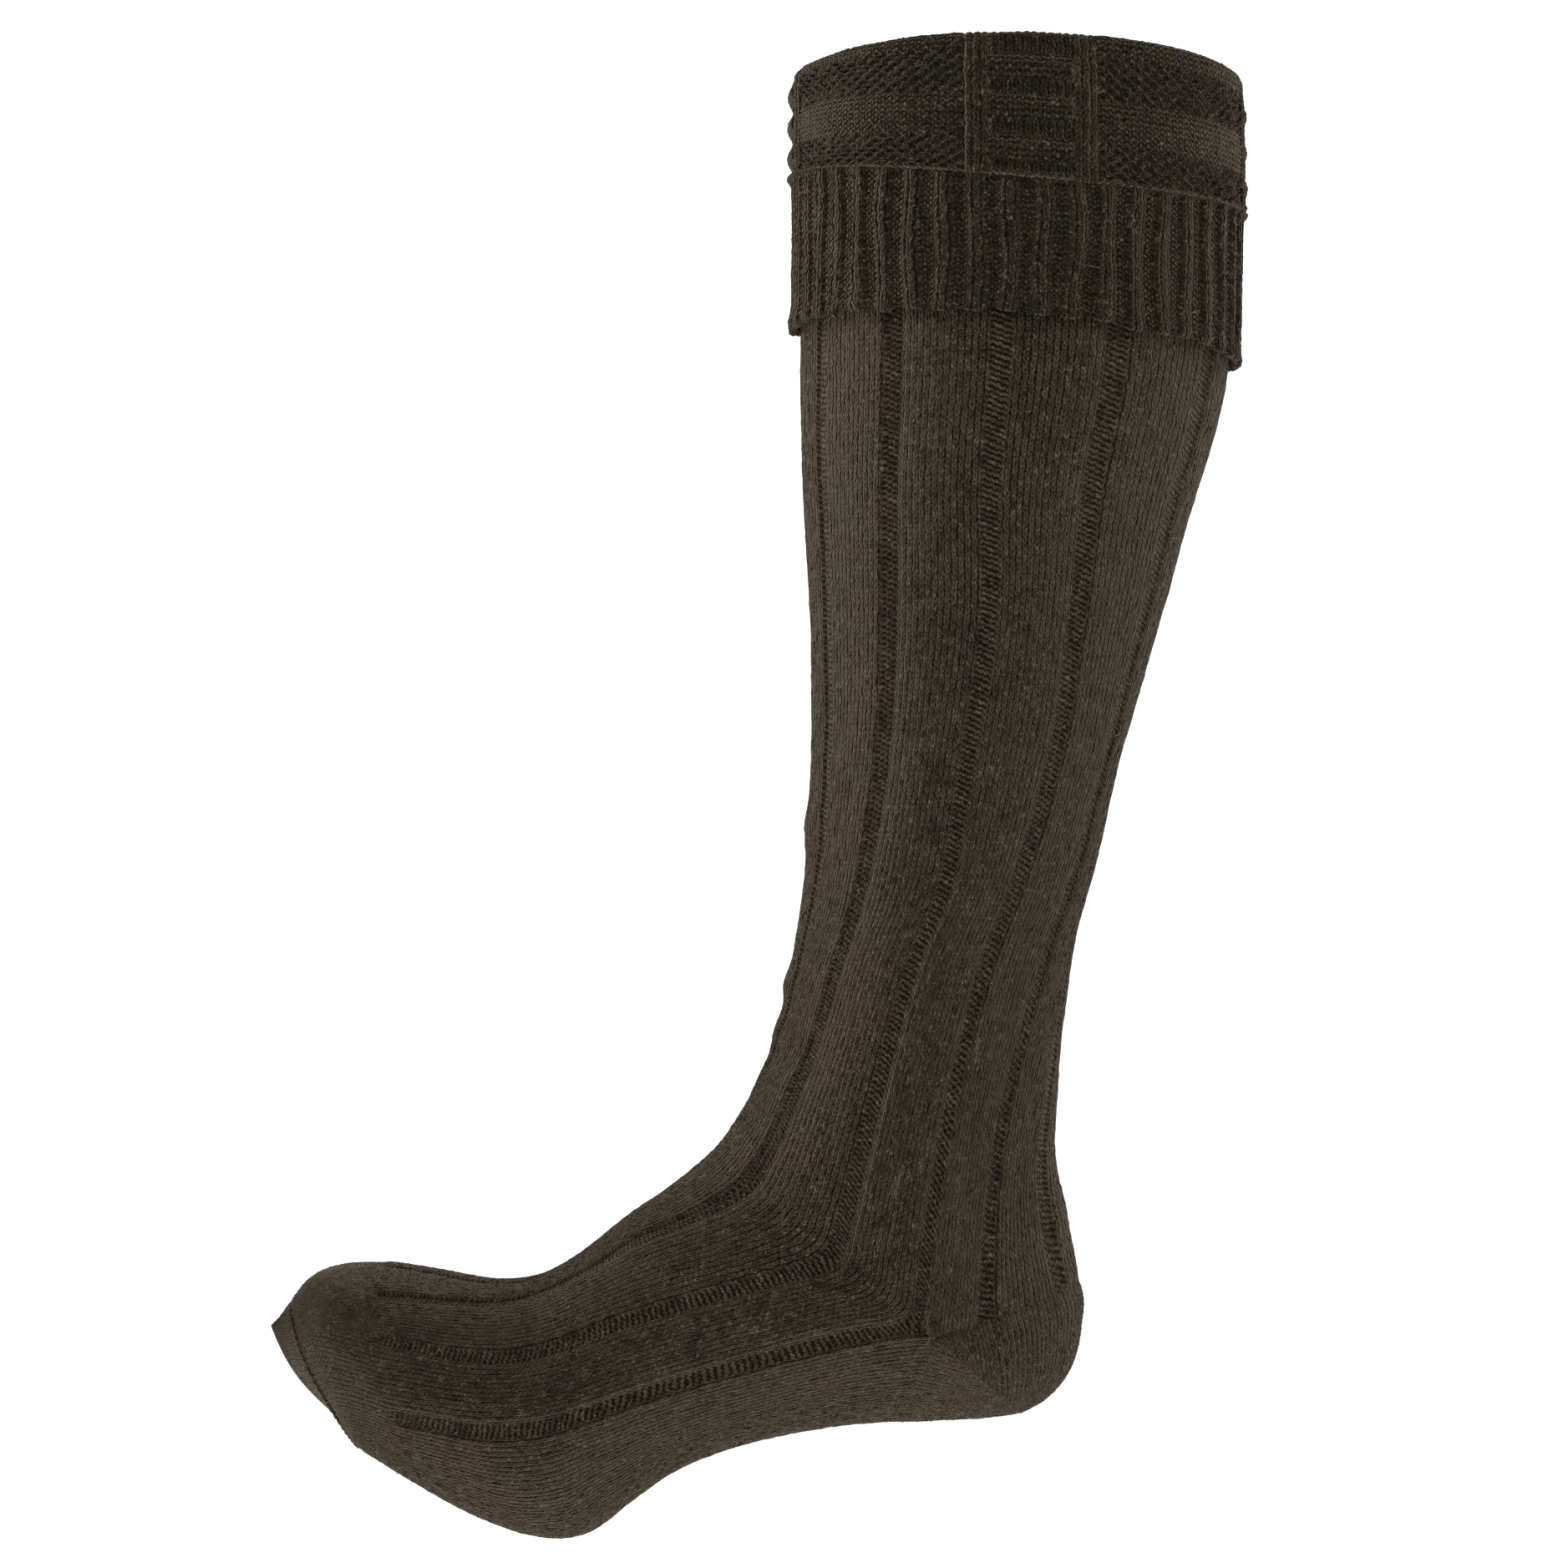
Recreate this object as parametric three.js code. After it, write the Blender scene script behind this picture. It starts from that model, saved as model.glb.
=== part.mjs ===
// Kilt hose sock in its worn form, hollow from the leg opening to the toe, in millimetres.
// The origin is the centre of the leg opening, level with the fold of the turned-down cuff.
// +Z runs up the leg, the toe points along -X and the outer side of the foot faces -Y.
import * as THREE from 'three';

// Leg, from the fold of the cuff to the underside of the heel.
const LEG_HEIGHT = 444;
const CALF_DEPTH = 141.3; // front to back over the calf
const CALF_WIDTH = 128; // side to side over the calf
const ANKLE_WIDTH = 78;

// Foot, from the back of the heel to the seam at the toe.
const FOOT_LENGTH = 270;
const FOOT_WIDTH = 92; // over the ball of the foot
const ANKLE_HEIGHT = 130; // underside of the heel to the bend of the instep
const HEEL_SETBACK = 22.2; // back of the heel behind the axis of the leg
const FOOT_FULLNESS = 0.82; // power of the foot's section: 1 is an ellipse, less is squarer

// Knitted wall and the recessed purl channels in it.
const WALL = 2.4;
const CHANNEL_COUNT = 11;
const CHANNEL_SHARE = 3 / 16; // of the way from one channel to the next
const CHANNEL_DEPTH = 1.1;
const CHANNEL_TURN = 24; // degrees that the leg's channels turn before they reach the foot
const INSTEP_SHARE = 102 / 176; // of the way round, knitted on with channels past the heel

// Turned-down cuff.
const CUFF_WALL = 3.2;
const CUFF_EASE = 1.2; // clear space between the leg and the cuff
const FOLD_HEIGHT = 3;
const LIP_DEPTH = 5.7; // inner part of the fold, down to the top of the leg
const BAND_DEPTH = 44; // fold to the lower edge of the patterned band, at the side
const BAND_TILT = 6.75; // how much deeper the band is at the calf, and shallower at the shin
const BAND_SAG = -4.25; // added at both the calf and the shin
const RIB_DEPTH = 42; // ribbed edge below the band, at the side
const RIB_TILT = -0.5;
const RIB_SAG = 7;
const RIB_COUNT = 44;
const RIB_RELIEF = 1.2;
const RIDGE_HEIGHT = 3.4; // raised purl ridge along the band's lower edge
const RIDGE_PROUD = 0.9;

// Linked seam across the toe.
const SEAM_RADIUS = 1.1;
const SEAM_INSET = 1.1; // toe rows from the seam to the toe's end
const SEAM_SPAN = 152; // degrees of the section that the seam crosses

const PIECE_GAP = 0.3;

const WOOL = { color: 0x3f382c, roughness: 0.95, metalness: 0 };
const CUFF_WOOL = { color: 0x352f26, roughness: 0.96, metalness: 0 };
const SEAM_WOOL = { color: 0x38322a, roughness: 0.95, metalness: 0 };

// Angles round a section: -90 is the shin or the top of the foot, 0 the outer side, 90 the calf or the sole.
const FRONT = -90;
const BACK = 90;
const CORNER_ANGLE = FRONT + (INSTEP_SHARE * 360) / 2; // where the heel's gore ends, on the side of the ankle
const CORNER_LEVEL = sine(CORNER_ANGLE);

// Leg sections from the fold down. down: share of the shin's length. The other columns are shares of the
// way from the ankle's size to the calf's: front and back line, half width, and the turn of the channels.
const LEG_ROWS = [
  { down: 0, front: 1.02, back: 1.0, width: 0.97, turn: 1 },
  { down: 0.143, front: 1.02, back: 1.01, width: 0.99, turn: 1 },
  { down: 0.312, front: 0.97, back: 0.976, width: 1.0, turn: 1 },
  { down: 0.443, front: 1.09, back: 0.785, width: 0.85, turn: 1 },
  { down: 0.576, front: 1.31, back: 0.582, width: 0.65, turn: 1 },
  { down: 0.707, front: 1.38, back: 0.379, width: 0.44, turn: 1 },
  { down: 0.841, front: 1.13, back: 0.195, width: 0.21, turn: 0.9 },
  { down: 0.93, front: 0.6, back: 0.082, width: 0.08, turn: 0.7 },
];

// Sections round the bend of the ankle. topAlong and soleAlong: shares of the foot's length from the back
// of the heel. topUp and soleUp: shares of the ankle's height over the underside of the heel.
// width: share of the ankle's width. corner: how far the section reaches down to the heel's corner.
const ANKLE_ROWS = [
  { topAlong: 0.376, topUp: 0.98, soleAlong: 0.032, soleUp: 0.873, width: 0.5, corner: 0.08, turn: 0.45 },
  { topAlong: 0.401, topUp: 0.852, soleAlong: 0.035, soleUp: 0.682, width: 0.487, corner: 0.35, turn: 0.25 },
  { topAlong: 0.427, topUp: 0.758, soleAlong: 0.022, soleUp: 0.532, width: 0.475, corner: 0.68, turn: 0.1 },
  { topAlong: 0.458, topUp: 0.679, soleAlong: 0.006, soleUp: 0.362, width: 0.468, corner: 1, turn: 0 },
];

// The heel's corner and the round of the heel below the last ankle row, in the same shares.
const CORNER_ROW = { along: 0.189, up: 0.255 };
const HEEL_ROWS = [
  { along: 0.0, up: 0.288 },
  { along: 0.0167, up: 0.128 },
  { along: 0.073, up: 0.028 },
  { along: 0.181, up: 0.004 },
];

// Foot sections from the heel to the start of the toe. width: share of the foot's width, as half width.
const FOOT_ROWS = [
  { topAlong: 0.458, topUp: 0.679, soleAlong: 0.242, soleUp: 0.001, width: 0.397, corner: 1 },
  { topAlong: 0.509, topUp: 0.588, soleAlong: 0.319, soleUp: -0.013, width: 0.408, corner: 0.6 },
  { topAlong: 0.566, topUp: 0.505, soleAlong: 0.406, soleUp: -0.049, width: 0.42, corner: 0.3 },
  { topAlong: 0.622, topUp: 0.419, soleAlong: 0.489, soleUp: -0.113, width: 0.437, corner: 0.1 },
  { topAlong: 0.673, topUp: 0.366, soleAlong: 0.55, soleUp: -0.199, width: 0.458, corner: 0 },
  { topAlong: 0.724, topUp: 0.355, soleAlong: 0.606, soleUp: -0.282, width: 0.48, corner: 0 },
  { topAlong: 0.776, topUp: 0.371, soleAlong: 0.673, soleUp: -0.288, width: 0.5, corner: 0 },
  { topAlong: 0.827, topUp: 0.39, soleAlong: 0.755, soleUp: -0.224, width: 0.489, corner: 0 },
  { topAlong: 0.873, topUp: 0.4, soleAlong: 0.817, soleUp: -0.154, width: 0.457, corner: 0 },
];

// Toe sections from the end of the channels to the pinched end, in the same shares.
const TOE_ROWS = [
  { topAlong: 0.919, topUp: 0.394, soleAlong: 0.847, soleUp: -0.118, width: 0.395, corner: 0 },
  { topAlong: 0.953, topUp: 0.362, soleAlong: 0.873, soleUp: -0.088, width: 0.31, corner: 0 },
  { topAlong: 0.977, topUp: 0.298, soleAlong: 0.887, soleUp: -0.072, width: 0.19, corner: 0 },
  { topAlong: 0.998, topUp: 0.241, soleAlong: 0.891, soleUp: -0.066, width: 0.03, corner: 0 },
];

// How finely each piece is drawn, as counts of rows and columns.
const LEG_RINGS = 15;
const FOOT_RINGS = 12;
const SOLE_COLUMNS = 17;
const HEEL_RINGS = 9;
const HEEL_COLUMNS = 24;
const TOE_RINGS = 7;
const TOE_COLUMNS = 40;
const BAND_COLUMNS = 44;
const FOLD_STEPS = 5;
const SEAM_STEPS = 16;
const SEAM_SIDES = 6;
const HALVINGS = 24;

function sine(degrees) {
  return Math.sin(THREE.MathUtils.degToRad(degrees));
}

function cosine(degrees) {
  return Math.cos(THREE.MathUtils.degToRad(degrees));
}

// Places in the side view, as x and z.
function footPlace(along, up) {
  return new THREE.Vector2(HEEL_SETBACK - along * FOOT_LENGTH, up * ANKLE_HEIGHT - LEG_HEIGHT);
}

const cornerPlace = footPlace(CORNER_ROW.along, CORNER_ROW.up);

// A section of the ankle or foot: its top and sole places, its half width, and the offset that carries its
// side to the heel's corner.
function footSection(row, width) {
  const front = footPlace(row.topAlong, row.topUp);
  const back = footPlace(row.soleAlong, row.soleUp);
  const straight = front.clone().lerp(back, (1 + CORNER_LEVEL) / 2);
  const pull = cornerPlace.clone().sub(straight).multiplyScalar(row.corner);
  const fullness = row.turn === undefined ? FOOT_FULLNESS : THREE.MathUtils.lerp(1, FOOT_FULLNESS, row.corner);
  return { front, back, pull, fullness, half: row.width * width, turn: (row.turn ?? 0) * CHANNEL_TURN };
}

// A level section of the leg, between the first ankle section and the calf.
function legSection(row, ankle) {
  const z = -row.down * (LEG_HEIGHT - ANKLE_HEIGHT);
  const front = THREE.MathUtils.lerp(ankle.front.x, -CALF_DEPTH / 2, row.front);
  const back = THREE.MathUtils.lerp(ankle.back.x, CALF_DEPTH / 2, row.back);
  return {
    front: new THREE.Vector2(front, z),
    back: new THREE.Vector2(back, z),
    pull: new THREE.Vector2(0, 0),
    fullness: 1,
    half: THREE.MathUtils.lerp(ankle.half, CALF_WIDTH / 2, row.width),
    turn: row.turn * CHANNEL_TURN,
  };
}

const ankleSections = ANKLE_ROWS.map((row) => footSection(row, ANKLE_WIDTH));
const legSections = [...LEG_ROWS.map((row) => legSection(row, ankleSections[0])), ...ankleSections];
const footSections = [...FOOT_ROWS, ...TOE_ROWS].map((row) => footSection(row, FOOT_WIDTH));
footSections[0].half = legSections[legSections.length - 1].half;

// Catmull-Rom value between four neighbours.
function smoothValue(a, b, c, d, t) {
  const slopeB = (c - a) / 2;
  const slopeC = (d - b) / 2;
  return (
    b * (2 * t ** 3 - 3 * t ** 2 + 1) +
    slopeB * (t ** 3 - 2 * t ** 2 + t) +
    c * (3 * t ** 2 - 2 * t ** 3) +
    slopeC * (t ** 3 - t ** 2)
  );
}

// The section at a fractional place in a list of sections.
function sectionAt(sections, place) {
  const last = sections.length - 1;
  const index = Math.min(Math.max(Math.floor(place), 0), last - 1);
  const t = place - index;
  const near = [-1, 0, 1, 2].map((step) => sections[THREE.MathUtils.clamp(index + step, 0, last)]);
  const blend = (pick) => smoothValue(...near.map(pick), t);
  const blendPlace = (name) => new THREE.Vector2(blend((s) => s[name].x), blend((s) => s[name].y));
  return {
    front: blendPlace('front'),
    back: blendPlace('back'),
    pull: blendPlace('pull'),
    fullness: blend((s) => s.fullness),
    half: blend((s) => s.half),
    turn: blend((s) => s.turn),
  };
}

// How far a section stands out to the side at an angle.
function sideways(half, angle, fullness) {
  const share = cosine(angle);
  return -half * Math.sign(share) * Math.abs(share) ** fullness;
}

// The point of a section at an angle round it, with its side pulled to the heel's corner.
function sectionPoint(section, angle) {
  const level = sine(angle);
  const side = section.front.clone().lerp(section.back, (1 + level) / 2);
  const reach = level < CORNER_LEVEL ? (1 + level) / (1 + CORNER_LEVEL) : (1 - level) / (1 - CORNER_LEVEL);
  side.addScaledVector(section.pull, reach);
  return new THREE.Vector3(side.x, sideways(section.half, angle, section.fullness), side.y);
}

// The round of the heel in the side view, from the last ankle section's back to the foot's first sole place.
const heelOutline = [
  legSections[legSections.length - 1].back,
  ...HEEL_ROWS.map((row) => footPlace(row.along, row.up)),
  footSections[0].back,
];

function heelPlace(share) {
  const last = heelOutline.length - 1;
  const index = Math.min(Math.floor(share * last), last - 1);
  const t = share * last - index;
  const near = [-1, 0, 1, 2].map((step) => heelOutline[THREE.MathUtils.clamp(index + step, 0, last)]);
  return new THREE.Vector2(smoothValue(...near.map((p) => p.x), t), smoothValue(...near.map((p) => p.y), t));
}

// The heel's cup: every section runs straight from the corner to the round of the heel.
function heelPoint(share, angle) {
  const reach = (sine(angle) - CORNER_LEVEL) / (1 - CORNER_LEVEL);
  const side = cornerPlace.clone().lerp(heelPlace(share), reach);
  return new THREE.Vector3(side.x, sideways(footSections[0].half, angle, FOOT_FULLNESS), side.y);
}

// The outward direction of a surface whose rows run down the sock and whose angles run from the shin by the
// outer side to the calf.
function outward(surface, row, angle, rowStep = 0.02, angleStep = 1) {
  const along = surface(row + rowStep, angle).sub(surface(row - rowStep, angle));
  const round = surface(row, angle + angleStep).sub(surface(row, angle - angleStep));
  return along.cross(round).normalize();
}

// Turns a mesh whose faces all point in, and leaves one whose faces point out.
function closedBody(points, faces) {
  let volume = 0;
  for (const [a, b, c] of faces) {
    volume += points[a].dot(points[b].clone().cross(points[c]));
  }
  const turned = volume < 0 ? faces.map(([a, b, c]) => [a, c, b]) : faces;
  const geometry = new THREE.BufferGeometry();
  geometry.setAttribute('position', new THREE.Float32BufferAttribute(points.flatMap((p) => p.toArray()), 3));
  geometry.setIndex(turned.flat());
  geometry.computeVertexNormals();
  return geometry;
}

// Two triangles for each cell of a grid of point numbers.
function gridFaces(grid, closedRound) {
  const faces = [];
  const columns = grid[0].length;
  for (let row = 0; row + 1 < grid.length; row += 1) {
    for (let column = 0; column < (closedRound ? columns : columns - 1); column += 1) {
      const next = (column + 1) % columns;
      const [a, b] = [grid[row][column], grid[row][next]];
      const [c, d] = [grid[row + 1][next], grid[row + 1][column]];
      faces.push([a, b, c], [a, c, d]);
    }
  }
  return faces;
}

// Numbers the points of a grid after those already listed.
function addGrid(points, rows) {
  return rows.map((row) => row.map((point) => points.push(point) - 1));
}

// A ring-shaped wall from an outer and an inner grid with the same columns, open at both ends.
function tubeWall(outerRows, innerRows) {
  const points = [];
  const outer = addGrid(points, outerRows);
  const inner = addGrid(points, innerRows);
  const loop = [...outer, ...inner.reverse(), outer[0]];
  return closedBody(points, gridFaces(loop, true));
}

// A patch of wall from an outer and an inner grid of the same size, closed along its four edges.
function patchWall(outerRows, innerRows) {
  const points = [];
  const outer = addGrid(points, outerRows);
  const inner = addGrid(points, innerRows);
  const loop = [...outer, ...[...inner].reverse(), outer[0]];
  const faces = gridFaces(loop, false);
  const sideOuter = [outer.map((row) => row[0]), outer.map((row) => row[row.length - 1])];
  const sideInner = [inner.map((row) => row[0]), inner.map((row) => row[row.length - 1])];
  faces.push(...gridFaces([sideOuter[0], sideInner[0]], false));
  faces.push(...gridFaces([sideInner[1], sideOuter[1]], false));
  return closedBody(points, faces);
}

// Evenly spaced values, ends included.
function spaced(from, to, count) {
  return Array.from({ length: count }, (_, i) => THREE.MathUtils.lerp(from, to, i / (count - 1)));
}

// Columns round the leg, each with its angle before the channels' turn and whether it lies in a channel.
const CHANNEL_STEP = 360 / CHANNEL_COUNT;
const FLOOR_HALF = 0.4 * CHANNEL_SHARE;
const BANK_HALF = 0.73 * CHANNEL_SHARE;

function channelColumns(first, last) {
  const columns = [];
  for (let channel = first; channel <= last; channel += 1) {
    for (const share of [-BANK_HALF, -FLOOR_HALF, FLOOR_HALF, BANK_HALF, 0.37, 0.63]) {
      const recessed = Math.abs(share) <= FLOOR_HALF;
      columns.push({ angle: FRONT + (channel + share) * CHANNEL_STEP, recessed });
    }
  }
  return columns;
}

function wallPoint(surface, row, column, depth) {
  const direction = outward(surface, row, column);
  return surface(row, column).addScaledVector(direction, -depth);
}

// The rows of points of a wall's outer and inner face.
function wallRows(surface, places, columns, turnAt) {
  const face = (depthOf) =>
    places.map((place) =>
      columns.map((column) => wallPoint(surface, place, column.angle + turnAt(place), depthOf(column))),
    );
  return {
    outer: face((column) => (column.recessed ? CHANNEL_DEPTH : 0)),
    inner: face(() => WALL),
  };
}

const legSurface = (place, angle) => sectionPoint(sectionAt(legSections, place), angle);
const footSurface = (place, angle) => sectionPoint(sectionAt(footSections, place), angle);

// The place in the leg's list of sections whose section lies at a level above the ankle, by halving.
function legPlaceAt(z) {
  let [above, below] = [0, LEG_ROWS.length - 1];
  for (let step = 0; step < HALVINGS; step += 1) {
    const middle = (above + below) / 2;
    if (sectionAt(legSections, middle).front.y > z) above = middle;
    else below = middle;
  }
  return (above + below) / 2;
}

// A gap as a share of the way from one section to the next.
function gapShare(sections, index, next) {
  return PIECE_GAP / sections[index].front.distanceTo(sections[next].front);
}

function makeLeg() {
  const last = legSections.length - 1;
  const top = legPlaceAt(-LIP_DEPTH - PIECE_GAP);
  const places = spaced(top, last - gapShare(legSections, last, last - 1) / 2, LEG_RINGS);
  const columns = channelColumns(0, CHANNEL_COUNT - 1);
  const { outer, inner } = wallRows(legSurface, places, columns, (p) => sectionAt(legSections, p).turn);
  return tubeWall(outer, inner);
}

// The heel is knitted plain, without channels.
function makeHeel() {
  const outlineLength = new THREE.Path(heelOutline).getLength();
  const trim = PIECE_GAP / outlineLength;
  const cornerTrim = (INSTEP_SHARE * 360) / HEEL_COLUMNS / 5;
  const shares = spaced(trim, 1 - trim, HEEL_RINGS);
  const angles = spaced(CORNER_ANGLE + cornerTrim, 2 * BACK - CORNER_ANGLE - cornerTrim, HEEL_COLUMNS);
  const surface = (share, angle) => heelPoint(THREE.MathUtils.clamp(share, 0, 1), angle);
  const face = (depth) => shares.map((share) => angles.map((angle) => wallPoint(surface, share, angle, depth)));
  return patchWall(face(0), face(WALL));
}

// A patch of the foot between its first and last section.
function footPatch(columns) {
  const end = FOOT_ROWS.length - 1;
  const from = gapShare(footSections, 0, 1);
  const to = end - gapShare(footSections, end, end - 1) / 2;
  const { outer, inner } = wallRows(footSurface, spaced(from, to, FOOT_RINGS), columns, () => 0);
  return patchWall(outer, inner);
}

// Half the gap between instep and sole, as an angle.
const edgeTrim = THREE.MathUtils.radToDeg(PIECE_GAP / FOOT_WIDTH);

// Channels run on over the instep.
function makeInstep() {
  const side = Math.floor((INSTEP_SHARE * CHANNEL_COUNT) / 2 - BANK_HALF);
  const edge = CORNER_ANGLE - edgeTrim;
  const plain = (angle) => ({ angle, recessed: false });
  return footPatch([plain(2 * FRONT - edge), ...channelColumns(-side, side).slice(0, -2), plain(edge)]);
}

// The sole is knitted plain.
function makeSole() {
  const edge = CORNER_ANGLE + edgeTrim;
  return footPatch(spaced(edge, 2 * BACK - edge, SOLE_COLUMNS).map((angle) => ({ angle, recessed: false })));
}

// A cup: outer and inner face both close in a flat strip at the pinched end.
function makeToe() {
  const start = FOOT_ROWS.length - 1;
  const end = footSections.length - 1;
  const from = start + gapShare(footSections, start, start + 1) / 2;
  const innerEnd = end - 1 + 0.2;
  const angles = spaced(FRONT, FRONT + 360, TOE_COLUMNS + 1).slice(0, -1);
  const face = (to, depth) =>
    spaced(from, to, TOE_RINGS).map((place) => angles.map((angle) => wallPoint(footSurface, place, angle, depth)));
  const points = [];
  const outer = addGrid(points, face(end - 0.02, 0));
  const inner = addGrid(points, face(innerEnd, WALL));
  const faces = gridFaces([...[...outer].reverse(), ...inner], true);
  const half = TOE_COLUMNS / 2;
  for (const [ring, flip] of [[outer[TOE_RINGS - 1], true], [inner[TOE_RINGS - 1], false]]) {
    for (let i = 0; i < half; i += 1) {
      const mirror = (k) => (TOE_COLUMNS - k) % TOE_COLUMNS;
      const [a, b, c, d] = [ring[i], ring[i + 1], ring[mirror(i + 1)], ring[mirror(i)]];
      const pair = [];
      if (b !== c) pair.push([a, b, c]);
      if (a !== d) pair.push([a, c, d]);
      faces.push(...pair.map(([p, q, r]) => (flip ? [p, r, q] : [p, q, r])));
    }
  }
  return closedBody(points, faces);
}

function makeToeSeam() {
  const place = footSections.length - 1 - SEAM_INSET;
  const lift = PIECE_GAP + SEAM_RADIUS;
  const line = spaced(-SEAM_SPAN / 2, SEAM_SPAN / 2, SEAM_STEPS).map((angle) =>
    wallPoint(footSurface, place, angle, -lift),
  );
  const shape = new THREE.Shape(
    spaced(0, 360, SEAM_SIDES + 1)
      .slice(0, -1)
      .map((angle) => new THREE.Vector2(SEAM_RADIUS * cosine(angle), SEAM_RADIUS * sine(angle))),
  );
  const path = new THREE.CatmullRomCurve3(line);
  return new THREE.ExtrudeGeometry(shape, { steps: SEAM_STEPS, extrudePath: path, bevelEnabled: false });
}

// A place beside the leg at a level, by its distance out from the leg's face.
function besideLeg(angle, z, out) {
  const place = legPlaceAt(Math.min(z, 0));
  const point = legSurface(place, angle);
  const section = sectionAt(legSections, place);
  const depth = (section.back.x - section.front.x) / 2;
  const direction = new THREE.Vector3(section.half * sine(angle), -depth * cosine(angle), 0).normalize();
  point.z = z;
  return point.addScaledVector(direction, out);
}

function bandEdge(angle) {
  return -(BAND_DEPTH + BAND_TILT * sine(angle) + BAND_SAG * sine(angle) ** 2);
}

function cuffEdge(angle) {
  return bandEdge(angle) - (RIB_DEPTH + RIB_TILT * sine(angle) + RIB_SAG * sine(angle) ** 2);
}

// Closed profiles, one for each angle, joined into a ring.
function profileRing(angles, profileAt) {
  const points = [];
  const grid = addGrid(points, angles.map((angle) => profileAt(angle)));
  return closedBody(points, gridFaces([...grid, grid[0]], true));
}

// The patterned band with the fold over the leg's top and the lip inside it.
function makeCuffBand() {
  const outer = CUFF_EASE + CUFF_WALL;
  const middle = (outer - WALL) / 2;
  const reach = (outer + WALL) / 2;
  return profileRing(spaced(0, 360, BAND_COLUMNS + 1).slice(0, -1), (angle) => {
    const edge = bandEdge(angle);
    const fold = spaced(180, 0, FOLD_STEPS).map((turn) => [
      middle + reach * cosine(turn),
      FOLD_HEIGHT * (sine(turn) - 1),
    ]);
    const profile = [
      [-WALL, -LIP_DEPTH],
      ...fold,
      [outer, edge + RIDGE_HEIGHT],
      [outer + RIDGE_PROUD, edge + RIDGE_HEIGHT / 2],
      [outer, edge],
      [CUFF_EASE, edge],
      [CUFF_EASE, -LIP_DEPTH],
    ];
    return profile.map(([out, z]) => besideLeg(angle, z, out));
  });
}

// The ribbed edge: two knit wales stand out, two purl wales lie back.
function makeCuffRib() {
  const outer = CUFF_EASE + CUFF_WALL;
  const step = 360 / RIB_COUNT;
  const angles = [];
  for (let rib = 0; rib < RIB_COUNT; rib += 1) {
    for (const share of [0.04, 0.46, 0.54, 0.96]) {
      angles.push({ angle: (rib + share) * step, proud: share < 0.5 });
    }
  }
  return profileRing(angles, ({ angle, proud }) => {
    const [top, edge] = [bandEdge(angle) - PIECE_GAP, cuffEdge(angle)];
    const face = proud ? outer : outer - RIB_RELIEF;
    const profile = [
      [CUFF_EASE, top],
      [face, top],
      [face, edge + CUFF_WALL / 2],
      [(CUFF_EASE + face) / 2, edge],
      [CUFF_EASE, edge + CUFF_WALL / 2],
    ];
    return profile.map(([out, z]) => besideLeg(angle, z, out));
  });
}

function piece(name, geometry, look) {
  const mesh = new THREE.Mesh(geometry, new THREE.MeshStandardMaterial(look));
  mesh.name = name;
  return mesh;
}

const sock = new THREE.Group();
sock.add(piece('cuff_band', makeCuffBand(), CUFF_WOOL));
sock.add(piece('cuff_rib', makeCuffRib(), CUFF_WOOL));
sock.add(piece('leg', makeLeg(), WOOL));
sock.add(piece('heel', makeHeel(), WOOL));
sock.add(piece('instep', makeInstep(), WOOL));
sock.add(piece('sole', makeSole(), WOOL));
sock.add(piece('toe', makeToe(), WOOL));
sock.add(piece('toe_seam', makeToeSeam(), SEAM_WOOL));

export default sock;
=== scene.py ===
import math

import bpy
import numpy as np
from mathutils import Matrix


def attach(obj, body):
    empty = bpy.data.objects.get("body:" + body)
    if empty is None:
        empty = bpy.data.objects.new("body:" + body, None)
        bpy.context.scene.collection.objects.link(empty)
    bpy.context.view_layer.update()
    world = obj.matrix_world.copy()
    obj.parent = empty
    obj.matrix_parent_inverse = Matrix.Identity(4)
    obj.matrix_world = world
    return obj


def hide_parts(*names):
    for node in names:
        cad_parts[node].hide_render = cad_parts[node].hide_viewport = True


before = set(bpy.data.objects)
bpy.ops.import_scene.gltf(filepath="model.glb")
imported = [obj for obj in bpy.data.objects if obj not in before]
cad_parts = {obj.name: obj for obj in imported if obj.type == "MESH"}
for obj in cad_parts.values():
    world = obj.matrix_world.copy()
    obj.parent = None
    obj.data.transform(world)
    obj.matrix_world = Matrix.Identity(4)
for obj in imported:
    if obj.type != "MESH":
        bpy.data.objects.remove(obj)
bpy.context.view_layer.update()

bl_info = {
    "name": "Kilt Hose Sock",
    "version": (1, 0, 0),
    "blender": (4, 5, 0),
    "location": "View3D > Sidebar > Sock",
    "description": "Knits a kilt hose sock stitch by stitch round its packed frame",
    "category": "Add Mesh",
}

MM = 0.001

# The sock's form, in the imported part's frame: leg opening at the origin, toe towards -X, outer side to -Y.
LEG_HEIGHT = 444 * MM
CALF_DEPTH = 141.3 * MM
CALF_WIDTH = 128 * MM
ANKLE_WIDTH = 78 * MM
ANKLE_HEIGHT = 130 * MM
FOOT_LENGTH = 270 * MM
FOOT_WIDTH = 92 * MM
HEEL_SETBACK = 22.2 * MM
WALL = 2.4 * MM

# Exponent of the foot's breadth round a section: 1 gives an oval, less a squarer section
FOOT_FULLNESS = 0.82

# Degrees that the wales are turned round the sock where a row's turn is 1
CHANNEL_TURN = 24.0

# The turned-down cuff. Tilt deepens an edge at the calf and lifts it at the shin, sag lowers it at both.
CUFF_WALL = 3.2 * MM
CUFF_EASE = 1.2 * MM
FOLD_HEIGHT = 3 * MM
LIP_DEPTH = 5.7 * MM
BAND_DEPTH, BAND_TILT, BAND_SAG = 44 * MM, 6.75 * MM, -4.25 * MM
RIB_DEPTH, RIB_TILT, RIB_SAG = 42 * MM, -0.5 * MM, 7 * MM

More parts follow.
